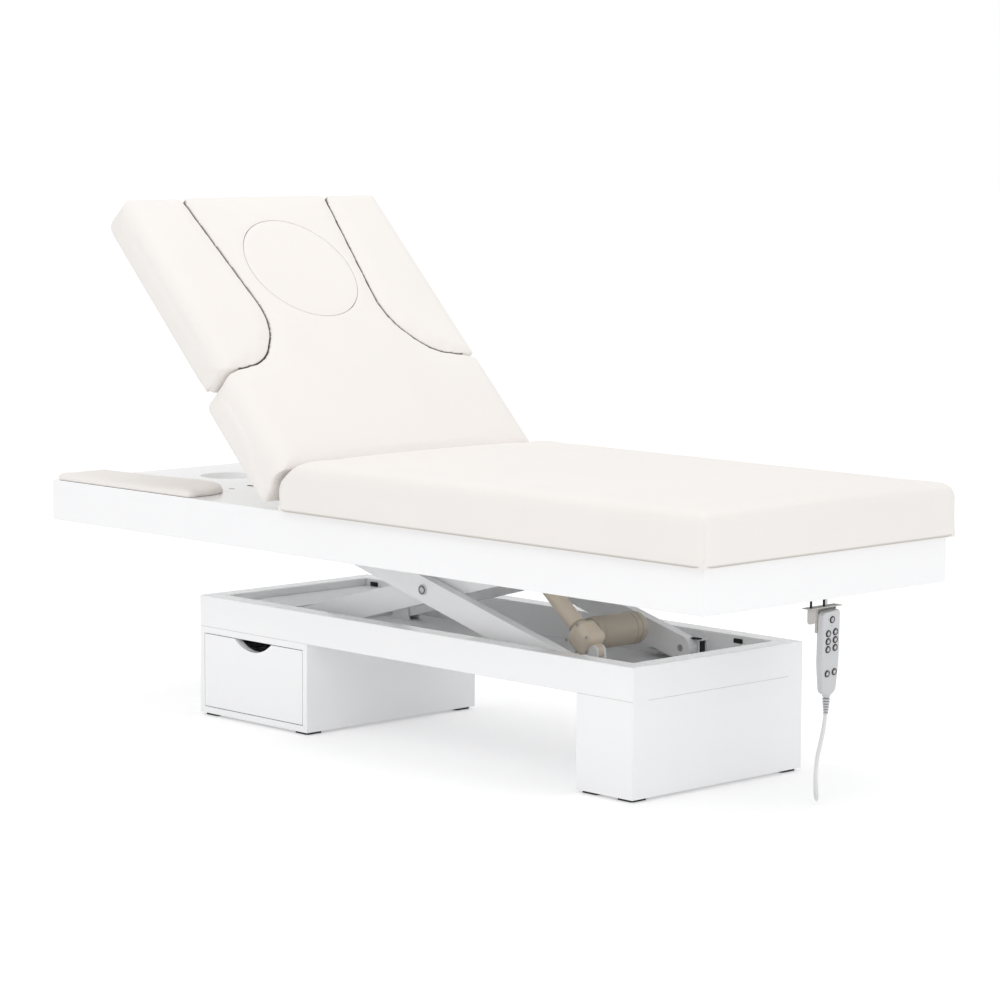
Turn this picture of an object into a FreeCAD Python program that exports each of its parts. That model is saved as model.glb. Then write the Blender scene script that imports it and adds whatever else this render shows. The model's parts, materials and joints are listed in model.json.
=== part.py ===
import FreeCAD, Part
import math
import os
from FreeCAD import Vector

# Spa bed with a cabinet base, in millimetres
# X runs from the head end to the foot end, Y across, Z up from the floor

# Whole bed
bed_width = 750.0
deck_height = 530.0
deck_thickness = 16.0
board_height = 96.0
board_thickness = 20.0
cushion_thickness = 112.0
cushion_overhang = 27.0
cushion_foot_overhang = 24.0

# Base
foot_height = 6.0
foot_size = 45.0
foot_inset = 8.0
base_length = 1416.0
base_head_overhang = 423.0
base_foot_overhang = 299.0
base_width = 526.0
cabinet_height = 205.0
rail_height = 73.0
rail_thickness = 46.0
floor_panel_thickness = 4.0
drawer_cabinet_length = 385.0
foot_cabinet_length = 164.0
cabinet_panel = 15.0

# Lift
pivot_x = -385.0
lower_pivot_rise = 31.0
upper_pivot_drop = 32.2
arm_span = 911.0
lift_angle = 14.0
arm_depth = 56.0
arm_thickness = 25.0
arm_wall = 3.0
inner_arm_y = 154.5
arm_gap = 3.0
pin_radius = 8.0
running_gap = 0.05
roller_radius = 17.0
roller_width = 15.0
roller_side_gap = 1.5
roller_play = 0.6

# Backrest
backrest_tilt = 45.5
hinge_x = -224.0
hinge_rise = 38.0
backrest_deck_gap = 1.0
backrest_length = 836.0
hinge_to_backrest = 8.5
wing_recess = 20.0
wing_gap = 2.0
plug_radius = 151.5
plug_gap = 1.5
plug_from_head = 249.0
face_hole_radius = 120.0

# Soft parts
board_stock = 15.0
upholstery_wrap = 12.0
pad_thickness = 18.0
soft_gap = 0.3

# General
overrun = 5.0
tiny = 1e-6
parallel_share = 0.99

bed_length = base_length + base_head_overhang + base_foot_overhang
half_length = bed_length / 2
base_head_x = base_head_overhang - half_length
half_width = bed_width / 2
cushion_half = half_width + cushion_overhang
half_base = base_width / 2
cabinet_top = foot_height + cabinet_height
rail_top = cabinet_top + rail_height
floor_top = cabinet_top + floor_panel_thickness
deck_underside = deck_height - deck_thickness
frame_bottom = deck_height - board_height
base_foot_x = base_head_x + base_length
rail_inner_y = half_base - rail_thickness
outer_arm_y = inner_arm_y + arm_thickness + arm_gap
lower_pivot_height = floor_top + lower_pivot_rise
upper_pivot_height = deck_underside - upper_pivot_drop
rest_angle = math.asin((upper_pivot_height - lower_pivot_height) / arm_span)
roller_x = pivot_x + arm_span * math.cos(rest_angle)
crossing_x = (pivot_x + roller_x) / 2
crossing_height = (lower_pivot_height + upper_pivot_height) / 2
raised_roller_x = pivot_x + arm_span * math.cos(rest_angle + math.radians(lift_angle))
backrest_foot_x = hinge_x - hinge_to_backrest
backrest_head_x = backrest_foot_x - backrest_length
backrest_under = deck_height + backrest_deck_gap
hinge_height = deck_height + hinge_rise
cushion_top = deck_height + cushion_thickness

nodes = {}


def keep(name, *solids):
    """Collects the solids of one piece, or of a set of like pieces."""
    nodes.setdefault(name, []).extend(solids)


def block(x_low, x_high, y_low, y_high, z_low, z_high):
    """Rectangular block between two corners."""
    return Part.makeBox(x_high - x_low, y_high - y_low, z_high - z_low, Vector(x_low, y_low, z_low))


def rod_x(radius, y, z, x_low, x_high):
    """Round bar along X."""
    return Part.makeCylinder(radius, x_high - x_low, Vector(x_low, y, z), Vector(1, 0, 0))


def rod_y(radius, x, z, y_low, y_high):
    """Round bar along Y."""
    return Part.makeCylinder(radius, y_high - y_low, Vector(x, y_low, z), Vector(0, 1, 0))


def rod_z(radius, x, y, z_low, z_high):
    """Round bar along Z."""
    return Part.makeCylinder(radius, z_high - z_low, Vector(x, y, z_low), Vector(0, 0, 1))


def far_side(shape):
    """Mirror image across the bed's long centre plane."""
    return shape.mirror(Vector(0, 0, 0), Vector(0, 1, 0))


def pair(shape):
    """The near piece and its mirror image on the far side."""
    return [shape, far_side(shape)]


def outline(corners, radii, at):
    """Closed face whose corners are tangent arcs; at turns a pair of sizes into a place."""
    starts, middles, ends = [], [], []
    count = len(corners)
    for i in range(count):
        corner = Vector(corners[i][0], corners[i][1], 0)
        back = (Vector(corners[i - 1][0], corners[i - 1][1], 0) - corner).normalize()
        ahead_corner = corners[(i + 1) % count]
        ahead = (Vector(ahead_corner[0], ahead_corner[1], 0) - corner).normalize()
        half_turn = back.getAngle(ahead) / 2
        reach = radii[i] / math.tan(half_turn)
        towards = (back + ahead).normalize()
        starts.append(corner + back * reach)
        ends.append(corner + ahead * reach)
        middles.append(corner + towards * (radii[i] / math.sin(half_turn) - radii[i]))
    edges = []
    for i in range(count):
        if radii[i] > 0:
            edges.append(Part.Arc(at(starts[i]), at(middles[i]), at(ends[i])).toShape())
        following = starts[(i + 1) % count]
        if (following - ends[i]).Length > tiny:
            edges.append(Part.LineSegment(at(ends[i]), at(following)).toShape())
    return Part.Face(Part.Wire(edges))


def tangent_point(centre, radius, towards, side):
    """Where the line from a point touches a circle; side is 1 or -1."""
    dx, dz = towards[0] - centre[0], towards[1] - centre[1]
    angle = math.atan2(dz, dx) + side * math.acos(radius / math.hypot(dx, dz))
    return centre[0] + radius * math.cos(angle), centre[1] + radius * math.sin(angle)


def runs_along(edge, axis):
    """Whether an edge starts off along an axis."""
    return abs(edge.tangentAt(edge.FirstParameter).dot(axis)) > parallel_share


def plate_y(corners, radii, y_low, y_high):
    """Plate whose outline is given in X and Z, standing along Y."""
    face = outline(corners, radii, lambda p: Vector(p.x, y_low, p.y))
    return face.extrude(Vector(0, y_high - y_low, 0))


def plate_z(corners, radii, z_low, z_high):
    """Plate whose outline is given in X and Y, standing along Z."""
    face = outline(corners, radii, lambda p: Vector(p.x, p.y, z_low))
    return face.extrude(Vector(0, 0, z_high - z_low))


def plate_x(corners, radii, x_low, x_high):
    """Plate whose outline is given in Y and Z, standing along X."""
    face = outline(corners, radii, lambda p: Vector(x_low, p.x, p.y))
    return face.extrude(Vector(x_high - x_low, 0, 0))


def rectangle(a_low, a_high, b_low, b_high):
    """Four corners of a rectangle."""
    return [(a_low, b_low), (a_high, b_low), (a_high, b_high), (a_low, b_high)]


# Cushion form: drawn-in sides, rounded top edges and a crown across the width
cushion_draw = 3.0
cushion_belly_share = 0.14
cushion_belly_radius = 50.0
cushion_edge_radius = 26.0
cushion_crown = 5.0
cushion_crown_cut = 2.0
crown_radius = cushion_half ** 2 / (2 * cushion_crown) + cushion_crown / 2


def cushion_profile(low, high, z_low, z_high, low_radius, high_radius):
    """Side outline of a cushion and its corner radii."""
    belly = z_low + cushion_belly_share * (z_high - z_low)
    corners = [(low + cushion_draw, z_low), (high - cushion_draw, z_low), (high, belly)]
    corners += [(high, z_high), (low, z_high), (low, belly)]
    radii = [0, 0, cushion_belly_radius]
    radii += [high_radius, low_radius, cushion_belly_radius]
    return corners, radii


def cushion(x_span, y_span, z_span, head_radius, foot_radius, near_radius, far_radius):
    """Upholstered block, crowned across the whole width."""
    z_low, z_high = z_span[0], z_span[1] + cushion_crown_cut
    side_profile = cushion_profile(*x_span, z_low, z_high, head_radius, foot_radius)
    side = plate_y(*side_profile, y_span[0] - overrun, y_span[1] + overrun)
    front_profile = cushion_profile(*y_span, z_low, z_high, near_radius, far_radius)
    front = plate_x(*front_profile, x_span[0] - overrun, x_span[1] + overrun)
    crown = rod_x(crown_radius, 0, z_span[1] - crown_radius, x_span[0] - overrun, x_span[1] + overrun)
    return side.common(front).common(crown)


# Feet
foot_x_places = []
for head, foot in (
    (base_head_x, base_head_x + drawer_cabinet_length),
    (base_foot_x - foot_cabinet_length, base_foot_x),
):
    foot_x_places += [head + foot_inset, foot - foot_inset - foot_size]
foot_edge = 6.0
for x in foot_x_places:
    low_y = -half_base + foot_inset
    corners = rectangle(x, x + foot_size, low_y, low_y + foot_size)
    keep("foot_pads", *pair(plate_z(corners, [foot_edge] * 4, 0, foot_height)))

# Drawer cabinet: two side panels, floor, top and back
drawer_cab_foot_x = base_head_x + drawer_cabinet_length
drawer_bay_head = base_head_x + cabinet_panel
drawer_bay_foot = drawer_cab_foot_x - cabinet_panel
for low, high in ((base_head_x, drawer_bay_head), (drawer_bay_foot, drawer_cab_foot_x)):
    keep("drawer_cabinet", block(low, high, -half_base, half_base, foot_height, cabinet_top))
bay_bottom = foot_height + cabinet_panel
bay_top = cabinet_top - cabinet_panel
for low, high in ((foot_height, bay_bottom), (bay_top, cabinet_top)):
    keep("drawer_cabinet", block(drawer_bay_head, drawer_bay_foot, -half_base, half_base, low, high))
bay_back_y = half_base - cabinet_panel
keep("drawer_cabinet", block(drawer_bay_head, drawer_bay_foot, bay_back_y, half_base, bay_bottom, bay_top))

# Foot cabinet: closed box of panels
foot_cab_head_x = base_foot_x - foot_cabinet_length
foot_bay_head = foot_cab_head_x + cabinet_panel
foot_bay_foot = base_foot_x - cabinet_panel
for low, high in ((foot_cab_head_x, foot_bay_head), (foot_bay_foot, base_foot_x)):
    keep("foot_cabinet", block(low, high, -half_base, half_base, foot_height, cabinet_top))
for low, high in ((foot_height, bay_bottom), (bay_top, cabinet_top)):
    keep("foot_cabinet", block(foot_bay_head, foot_bay_foot, -half_base, half_base, low, high))
for side in pair(block(foot_bay_head, foot_bay_foot, -half_base, cabinet_panel - half_base, bay_bottom, bay_top)):
    keep("foot_cabinet", side)

# Base frame: side rails run the full length, end rails sit between them
rail_edge = 2.0
side_rail = plate_x(
    rectangle(-half_base, -rail_inner_y, cabinet_top, rail_top),
    [rail_edge] * 4,
    base_head_x,
    base_foot_x,
)
keep("base_side_rails", *pair(side_rail))
for low, high in ((base_head_x, base_head_x + rail_thickness), (base_foot_x - rail_thickness, base_foot_x)):
    end_rail = plate_y(rectangle(low, high, cabinet_top, rail_top), [rail_edge] * 4, -rail_inner_y, rail_inner_y)
    keep("base_end_rails", end_rail)

# Base floor sheet, and the sunk shelf at the head end
rail_inner_head = base_head_x + rail_thickness
rail_inner_foot = base_foot_x - rail_thickness
keep(
    "base_floor",
    block(rail_inner_head, rail_inner_foot, -rail_inner_y, rail_inner_y, cabinet_top, floor_top),
)
shelf_drop = 18.0
shelf_thickness = 8.0
shelf_to_pivot = 63.0
shelf_gap = 2.0
shelf_top = rail_top - shelf_drop
shelf_head = rail_inner_head + shelf_gap
shelf_foot = pivot_x - shelf_to_pivot
shelf_half = rail_inner_y - shelf_gap
shelf = block(shelf_head, shelf_foot, -shelf_half, shelf_half, shelf_top - shelf_thickness, shelf_top)
lip = block(shelf_foot - shelf_thickness, shelf_foot, -shelf_half, shelf_half, floor_top, shelf_top - shelf_thickness)
keep("base_head_shelf", shelf.fuse(lip).removeSplitter())

# Lower roller channels on the inner faces of the side rails
channel_wall = 3.5
channel_margin = 22.0
channel_half = roller_radius + roller_play
outer_arm_face = outer_arm_y + arm_thickness / 2
inner_arm_face = inner_arm_y + arm_thickness / 2
channel_head_x = raised_roller_x - roller_radius - channel_margin
channel_foot_x = roller_x + roller_radius + channel_margin
lower_lip_y = outer_arm_face + roller_side_gap
lower_web_y = rail_inner_y - channel_wall


def channel(lip_y, web_y, centre_z):
    """C-shaped channel on the near side, open towards the arms."""
    outer = block(
        channel_head_x,
        channel_foot_x,
        -web_y - channel_wall,
        -lip_y,
        centre_z - channel_half - channel_wall,
        centre_z + channel_half + channel_wall,
    )
    bore = block(
        channel_head_x - overrun,
        channel_foot_x + overrun,
        -web_y,
        -lip_y + overrun,
        centre_z - channel_half,
        centre_z + channel_half,
    )
    return outer.cut(bore)


keep("lower_roller_channels", *pair(channel(lower_lip_y, lower_web_y, lower_pivot_height)))

# Stop blocks that close the foot ends of the lower channels
stop_length = 14.0
stop_height = 2 * channel_half
stop_gap = 4.0
stop_x = roller_x + roller_radius + stop_gap
stop = block(
    stop_x,
    stop_x + stop_length,
    -lower_web_y,
    -lower_lip_y,
    lower_pivot_height - stop_height / 2,
    lower_pivot_height + stop_height / 2,
)
keep("roller_stop_blocks", *pair(stop))

# Lower pivot brackets: an ear on each side of the inner arm, on one foot plate
ear_thickness = 5.0
ear_gap = 0.5
ear_half_width = 30.0
ear_radius = 20.0
inner_arm_inner_face = inner_arm_y - arm_thickness / 2
pivot_ear_clear = arm_thickness / 2 + ear_gap
ear_corner = 16.0


def pivot_ear(y_low, seat_z, pivot_z):
    """Ear from a seat to a round end about the pivot."""
    corners = [(pivot_x - ear_half_width, seat_z), (pivot_x + ear_half_width, seat_z)]
    reach = ear_radius if pivot_z > seat_z else -ear_radius
    corners += [(pivot_x + ear_radius, pivot_z + reach), (pivot_x - ear_radius, pivot_z + reach)]
    ear = plate_y(corners, [0, 0, ear_corner, ear_corner], y_low, y_low + ear_thickness)
    bore = rod_y(pin_radius + running_gap, pivot_x, pivot_z, y_low - overrun, y_low + ear_thickness + overrun)
    return ear.cut(bore)


keep(
    "lower_pivot_brackets",
    *pair(pivot_ear(-inner_arm_y - pivot_ear_clear - ear_thickness, floor_top, lower_pivot_height)),
    *pair(pivot_ear(-inner_arm_y + pivot_ear_clear, floor_top, lower_pivot_height)),
)

# Scissor arms: rectangular tube with round closed ends
arm_half = arm_depth / 2


def arm(centre_y, low_x, low_z, high_x, high_z, bore_radii):
    """Near arm between two pivot places; bore radii are given for the low end, crossing and high end."""
    run = Vector(high_x - low_x, 0, high_z - low_z)
    length = run.Length
    corners = rectangle(-arm_half, length + arm_half, -arm_half, arm_half)
    body = plate_y(corners, [arm_half] * 4, -centre_y - arm_thickness / 2, -centre_y + arm_thickness / 2)
    hollow = block(
        0,
        length,
        -centre_y - arm_thickness / 2 + arm_wall,
        -centre_y + arm_thickness / 2 - arm_wall,
        arm_wall - arm_half,
        arm_half - arm_wall,
    )
    body = body.cut(hollow)
    places = (0, length / 2, length)
    for place, radius in zip(places, bore_radii):
        if radius > 0:
            body = body.cut(rod_y(radius, place, 0, -centre_y - arm_thickness, -centre_y + arm_thickness))
    tilt = -math.degrees(math.atan2(run.z, run.x))
    body.rotate(Vector(0, 0, 0), Vector(0, 1, 0), tilt)
    body.translate(Vector(low_x, 0, low_z))
    return body


running_bore = pin_radius + running_gap
inner_arm = arm(
    inner_arm_y,
    pivot_x,
    lower_pivot_height,
    roller_x,
    upper_pivot_height,
    (pin_radius, pin_radius, pin_radius),
)
outer_arm = arm(
    outer_arm_y,
    roller_x,
    lower_pivot_height,
    pivot_x,
    upper_pivot_height,
    (pin_radius, running_bore, pin_radius),
)
keep("inner_arms", *pair(inner_arm))
keep("outer_arms", *pair(outer_arm))

# Cross tubes between the near and far arms
inner_tube_place = 600.0
inner_tube_radius = 16.0
outer_tube_place = 60.0
outer_tube_radius = 12.0


def on_inner_arm(place):
    """Point on the inner arm's centreline, measured from its lower pivot."""
    return pivot_x + place * math.cos(rest_angle), lower_pivot_height + place * math.sin(rest_angle)


def on_outer_arm(place):
    """Point on the outer arm's centreline, measured from its upper pivot."""
    return pivot_x + place * math.cos(rest_angle), upper_pivot_height - place * math.sin(rest_angle)


lift_pin_x, lift_pin_z = on_inner_arm(inner_tube_place)
keep("inner_arms", rod_y(inner_tube_radius, lift_pin_x, lift_pin_z, -inner_arm_inner_face, inner_arm_inner_face))
outer_tube_x, outer_tube_z = on_outer_arm(outer_tube_place)
outer_arm_inner_face = outer_arm_y - arm_thickness / 2
keep(
    "outer_arms",
    rod_y(outer_tube_radius, outer_tube_x, outer_tube_z, -outer_arm_inner_face, outer_arm_inner_face),
)

# Pins: pivots at the head end, roller stub axles at the foot end
pin_head_radius = 12.0
pin_head_thickness = 3.0
lower_pin_low = -inner_arm_y - pivot_ear_clear - ear_thickness
lower_pin_high = -inner_arm_y + pivot_ear_clear + ear_thickness
keep("inner_arm_pins", *pair(rod_y(pin_radius, pivot_x, lower_pivot_height, lower_pin_low, lower_pin_high)))
upper_lip_y = inner_arm_face + roller_side_gap
upper_roller_low = -upper_lip_y - roller_width
inner_axle_end = -inner_arm_y + arm_thickness / 2
keep("inner_arm_pins", *pair(rod_y(pin_radius, roller_x, upper_pivot_height, upper_roller_low, inner_axle_end)))
lower_roller_low = -lower_lip_y - roller_width
outer_axle_end = -outer_arm_y + arm_thickness / 2
keep("outer_arm_pins", *pair(rod_y(pin_radius, roller_x, lower_pivot_height, lower_roller_low, outer_axle_end)))
upper_pin_low = -outer_arm_y - pivot_ear_clear - ear_thickness
keep("outer_arm_pins", *pair(rod_y(pin_radius, pivot_x, upper_pivot_height, upper_pin_low, outer_axle_end)))
crossing_low = -outer_arm_face - running_gap
crossing = rod_y(pin_radius, crossing_x, crossing_height, crossing_low, -inner_arm_inner_face)
crossing_head_low = crossing_low - pin_head_thickness
crossing_head = rod_y(pin_head_radius, crossing_x, crossing_height, crossing_head_low, crossing_low)
keep("crossing_bolts", *pair(crossing.fuse(crossing_head).removeSplitter()))

# Rollers on the stub axles
roller_bore = pin_radius + running_gap
roller_edge = 1.5


def roller(y_low, z):
    """Near roller with chamfered rims."""
    wheel = rod_y(roller_radius, roller_x, z, y_low, y_low + roller_width)
    rims = [e for e in wheel.Edges if isinstance(e.Curve, Part.Circle)]
    wheel = wheel.makeChamfer(roller_edge, rims)
    return wheel.cut(rod_y(roller_bore, roller_x, z, y_low - overrun, y_low + roller_width + overrun))


keep("lower_rollers", *pair(roller(lower_roller_low, lower_pivot_height)))
keep("upper_rollers", *pair(roller(upper_roller_low, upper_pivot_height)))

# Top frame: mitred boards round the deck
board_edge = 2.0
bottom_z = frame_bottom
side_board = plate_x(
    rectangle(-half_width, board_thickness - half_width, bottom_z, deck_height),
    [board_edge] * 4,
    -half_length,
    half_length,
)
end_board = plate_y(
    rectangle(half_length - board_thickness, half_length, bottom_z, deck_height),
    [board_edge] * 4,
    -half_width,
    half_width,
)
inner_half_length = half_length - board_thickness
inner_half_width = half_width - board_thickness


def mitre(x_sign):
    """Wedge of space that belongs to the end board at one end of the bed."""
    corners = [
        (x_sign * inner_half_length, -inner_half_width),
        (x_sign * (half_length + overrun), -half_width - overrun),
        (x_sign * (half_length + overrun), half_width + overrun),
        (x_sign * inner_half_length, inner_half_width),
    ]
    return plate_z(corners, [0] * 4, bottom_z - overrun, deck_height + overrun)


side_board = side_board.cut(mitre(1)).cut(mitre(-1))
keep("top_side_boards", *pair(side_board))
foot_board = end_board.common(mitre(1))
keep("top_end_boards", foot_board, foot_board.mirror(Vector(0, 0, 0), Vector(1, 0, 0)))

# Deck between the boards, with the round face opening and the lever slot
deck_hole_from_head = 214.0
deck_hole_x = deck_hole_from_head - half_length
deck_hole_radius = 72.0
lever_radius = 80.0
lever_rest_angle = 12.0
lever_slot_half = 24.0
lever_slot_margin = 24.0
lever_flat_angle = math.radians(backrest_tilt - lever_rest_angle)
lever_slot_foot = hinge_x + lever_radius * math.sin(lever_flat_angle) + lever_slot_margin
backrest_raise = 14.5
lever_raised_angle = math.radians(backrest_raise + lever_rest_angle)
lever_slot_head = hinge_x - lever_radius * math.sin(lever_raised_angle) - lever_slot_margin
deck = block(-inner_half_length, inner_half_length, -inner_half_width, inner_half_width, deck_underside, deck_height)
deck = deck.cut(rod_z(deck_hole_radius, deck_hole_x, 0, deck_underside - overrun, deck_height + overrun))
deck = deck.cut(
    block(
        lever_slot_head,
        lever_slot_foot,
        -lever_slot_half,
        lever_slot_half,
        deck_underside - overrun,
        deck_height + overrun,
    )
)
keep("deck", deck)

# Upper roller channels, hung from the deck by their webs
upper_web_y = upper_lip_y + roller_width + roller_side_gap
upper_channel = channel(upper_lip_y, upper_web_y, upper_pivot_height)
hanger = block(
    channel_head_x,
    channel_foot_x,
    -upper_web_y - channel_wall,
    -upper_web_y,
    upper_pivot_height + channel_half,
    deck_underside,
)
keep("upper_roller_channels", *pair(upper_channel.fuse(hanger).removeSplitter()))
keep(
    "upper_pivot_brackets",
    *pair(pivot_ear(-outer_arm_y - pivot_ear_clear - ear_thickness, deck_underside, upper_pivot_height)),
)

# Seat section: board under one long cushion
seat_head_x = -221.0
seat_foot_x = half_length + cushion_foot_overhang
seat_head_radius = 92.0
seat_foot_radius = 22.0
seat = cushion(
    (seat_head_x, seat_foot_x),
    (-cushion_half, cushion_half),
    (deck_height, cushion_top),
    seat_head_radius,
    seat_foot_radius,
    cushion_edge_radius,
    cushion_edge_radius,
)
seat_board = block(
    seat_head_x + upholstery_wrap,
    seat_foot_x - upholstery_wrap,
    upholstery_wrap - cushion_half,
    cushion_half - upholstery_wrap,
    deck_height,
    deck_height + board_stock,
)
seat = seat.cut(seat_board)

# Backrest hinges: bracket on the deck, leaf on the backrest board, pin between
hinge_y = 300.0
hinge_plate = 5.0
hinge_plate_gap = 0.5
hinge_ring_radius = 14.0
hinge_pin_radius = 6.0
hinge_relief_radius = 18.0
hinge_slot_play = 1.5
bracket_heel = 8.0
bracket_foot_length = 70.0
leaf_length = 100.0
leaf_depth = 21.0
bracket_high_y = -hinge_y
bracket_low_y = bracket_high_y - hinge_plate
leaf_low_y = bracket_high_y + hinge_plate_gap
leaf_high_y = leaf_low_y + hinge_plate


def hinge_ring(y_low, y_high):
    """Round end of a hinge plate about the tilt axis."""
    return rod_y(hinge_ring_radius, hinge_x, hinge_height, y_low, y_high)


hinge_place = (hinge_x, hinge_height)
bracket_toe = (hinge_x + bracket_foot_length, deck_height + hinge_ring_radius)
bracket_corners = [
    (hinge_x + bracket_heel, deck_height),
    (hinge_x + bracket_foot_length, deck_height),
    bracket_toe,
    tangent_point(hinge_place, hinge_ring_radius, bracket_toe, 1),
    tangent_point(hinge_place, hinge_ring_radius, (hinge_x + bracket_heel, deck_height), -1),
]
bracket = plate_y(bracket_corners, [0] * 5, bracket_low_y, bracket_high_y)
bracket = bracket.fuse(hinge_ring(bracket_low_y, bracket_high_y)).removeSplitter()
bracket = bracket.cut(rod_y(hinge_pin_radius, hinge_x, hinge_height, bracket_low_y - overrun, bracket_high_y + overrun))
hinge_pin = rod_y(hinge_pin_radius, hinge_x, hinge_height, bracket_low_y, leaf_high_y)
keep("backrest_hinge_brackets", *pair(bracket), *pair(hinge_pin))
relief_low = bracket_low_y - hinge_slot_play
relief_high = leaf_high_y + hinge_slot_play
hinge_relief = rod_y(hinge_relief_radius, hinge_x, hinge_height, relief_low, relief_high)
bracket_slot = block(
    seat_head_x - overrun,
    hinge_x + bracket_foot_length + hinge_slot_play,
    relief_low,
    bracket_high_y + hinge_slot_play,
    deck_height - overrun,
    hinge_height + hinge_relief_radius,
)
for cutter in (hinge_relief, bracket_slot):
    for side in pair(cutter):
        seat = seat.cut(side)
        seat_board = seat_board.cut(side)
keep("seat_board", seat_board)
keep("seat_cushion", seat)

# Backrest plan: full width at the hips, a neck beside the wings
shoulder_from_head = 544.0
shoulder_turn_from_head = 518.0
shoulder_turn_y = 258.0
neck_from_head = 406.0
neck_y = 174.0
neck_head_y = 223.0
shoulder_along = backrest_length - shoulder_from_head
shoulder_turn_along = backrest_length - shoulder_turn_from_head
neck_along = backrest_length - neck_from_head
neck_radius = 70.0
shoulder_radius = 60.0
shoulder_start_radius = 28.0


def along(distance):
    """X place of a distance up the backrest while it lies flat."""
    return backrest_foot_x - distance


def backrest_plan(z_low, z_high, grow=0.0):
    """Centre cushion's plan as an upright solid, grown or shrunk all round."""
    near = [
        (along(0), -cushion_half),
        (along(shoulder_along), -cushion_half),
        (along(shoulder_turn_along), -shoulder_turn_y),
        (along(neck_along), -neck_y),
        (along(backrest_length), -neck_head_y),
    ]
    far = [(x, -y) for x, y in reversed(near)]
    radii = [0, shoulder_start_radius, shoulder_radius, neck_radius, 0]
    face = outline(near + far, radii + radii[::-1], lambda p: Vector(p.x, p.y, z_low))
    if grow != 0:
        face = face.makeOffset2D(grow)
    return face.extrude(Vector(0, 0, z_high - z_low))


def to_rest(shape):
    """Tilts a flat-lying piece of the backrest about its hinge."""
    turned = shape.copy()
    turned.rotate(Vector(hinge_x, 0, hinge_height), Vector(0, 1, 0), backrest_tilt)
    return turned


def tilted(x, z):
    """Where a point of the flat-lying backrest goes at rest."""
    angle = math.radians(backrest_tilt)
    dx, dz = x - hinge_x, z - hinge_height
    return (
        hinge_x + dx * math.cos(angle) + dz * math.sin(angle),
        hinge_height - dx * math.sin(angle) + dz * math.cos(angle),
    )


backrest_foot_radius = 90.0
backrest_head_radius = 30.0
backrest_side_radius = 42.0
backrest_block = cushion(
    (backrest_head_x, backrest_foot_x),
    (-cushion_half, cushion_half),
    (backrest_under, cushion_top),
    backrest_head_radius,
    backrest_foot_radius,
    backrest_side_radius,
    backrest_side_radius,
)
board_top = backrest_under + board_stock
plug_x = along(backrest_length - plug_from_head)
backrest_cushion = backrest_block.common(backrest_plan(backrest_under - overrun, cushion_top + overrun))
board_blank = backrest_plan(backrest_under, board_top, -upholstery_wrap)
backrest_cushion = backrest_cushion.cut(board_blank)
plug_well = rod_z(plug_radius + plug_gap, plug_x, 0, backrest_under - overrun, cushion_top + overrun)
backrest_cushion = backrest_cushion.cut(plug_well)
face_hole = rod_z(face_hole_radius, plug_x, 0, backrest_under - overrun, board_top + overrun)
backrest_board = board_blank.cut(face_hole)

# Face plug: cushion disc that rests on the board round the face opening
plug = backrest_block.common(rod_z(plug_radius, plug_x, 0, board_top + soft_gap, cushion_top + overrun))
plug_boss = rod_z(face_hole_radius - plug_gap, plug_x, 0, backrest_under, board_top + soft_gap)
keep("face_plug", to_rest(plug.fuse(plug_boss).removeSplitter()))

# Wing sockets: wood blocks on the backrest board, bored for the wing pegs
peg_radius = 6.0
peg_depth = 80.0
wing_plate_thickness = 18.0
wing_under = backrest_under + wing_recess
wing_plate_top = wing_under + wing_plate_thickness
peg_z = (wing_under + wing_plate_top) / 2
socket_half_length = 20.0
socket_cover = 3.0
socket_top = wing_plate_top + socket_cover
peg_bore = peg_radius + running_gap
peg_foam_play = 1.0
peg_end_gap = 10.0
lower_peg_from_head = 441.0
upper_peg_from_head = 61.0
lower_peg_along = backrest_length - lower_peg_from_head
upper_peg_along = backrest_length - upper_peg_from_head
lower_socket_y = 165.0
upper_socket_y = 200.0
pegs = []
for place, socket_y in ((lower_peg_along, lower_socket_y), (upper_peg_along, upper_socket_y)):
    x = along(place)
    socket = block(
        x - socket_half_length,
        x + socket_half_length,
        -socket_y,
        peg_depth - socket_y,
        board_top,
        socket_top,
    )
    bore = rod_y(peg_bore, x, peg_z, -socket_y - overrun, peg_depth - socket_y + overrun)
    foam_hole = rod_y(peg_radius + peg_foam_play, x, peg_z, -half_width, -socket_y)
    for side in pair(socket):
        backrest_cushion = backrest_cushion.cut(side)
    for side in pair(foam_hole):
        backrest_cushion = backrest_cushion.cut(side)
    keep("backrest_board", *[to_rest(side) for side in pair(socket.cut(bore))])
    pegs.append(rod_y(peg_radius, x, peg_z, -socket_y - peg_depth, peg_depth - socket_y - peg_end_gap))

# Hinge leaves in slots of the backrest board and cushion
leaf_foot_x = along(leaf_length)
leaf_toe = (leaf_foot_x, backrest_under + leaf_depth)
leaf_heel = (along(hinge_to_backrest), backrest_under)
leaf_corners = [
    tangent_point(hinge_place, hinge_ring_radius, leaf_toe, -1),
    leaf_toe,
    (leaf_foot_x, backrest_under),
    leaf_heel,
    tangent_point(hinge_place, hinge_ring_radius, leaf_heel, 1),
]
leaf = plate_y(leaf_corners, [0] * 5, leaf_low_y, leaf_high_y)
leaf = leaf.fuse(hinge_ring(leaf_low_y, leaf_high_y)).removeSplitter()
leaf_bore = rod_y(hinge_pin_radius + running_gap, hinge_x, hinge_height, leaf_low_y - overrun, leaf_high_y + overrun)
keep("backrest_hinge_leaves", *[to_rest(side) for side in pair(leaf.cut(leaf_bore))])
leaf_slot = block(
    leaf_foot_x,
    hinge_x,
    leaf_low_y,
    leaf_high_y,
    backrest_under - overrun,
    hinge_height + hinge_relief_radius,
)
for cutter in (hinge_relief, leaf_slot):
    for side in pair(cutter):
        backrest_cushion = backrest_cushion.cut(side)
        backrest_board = backrest_board.cut(side)

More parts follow.
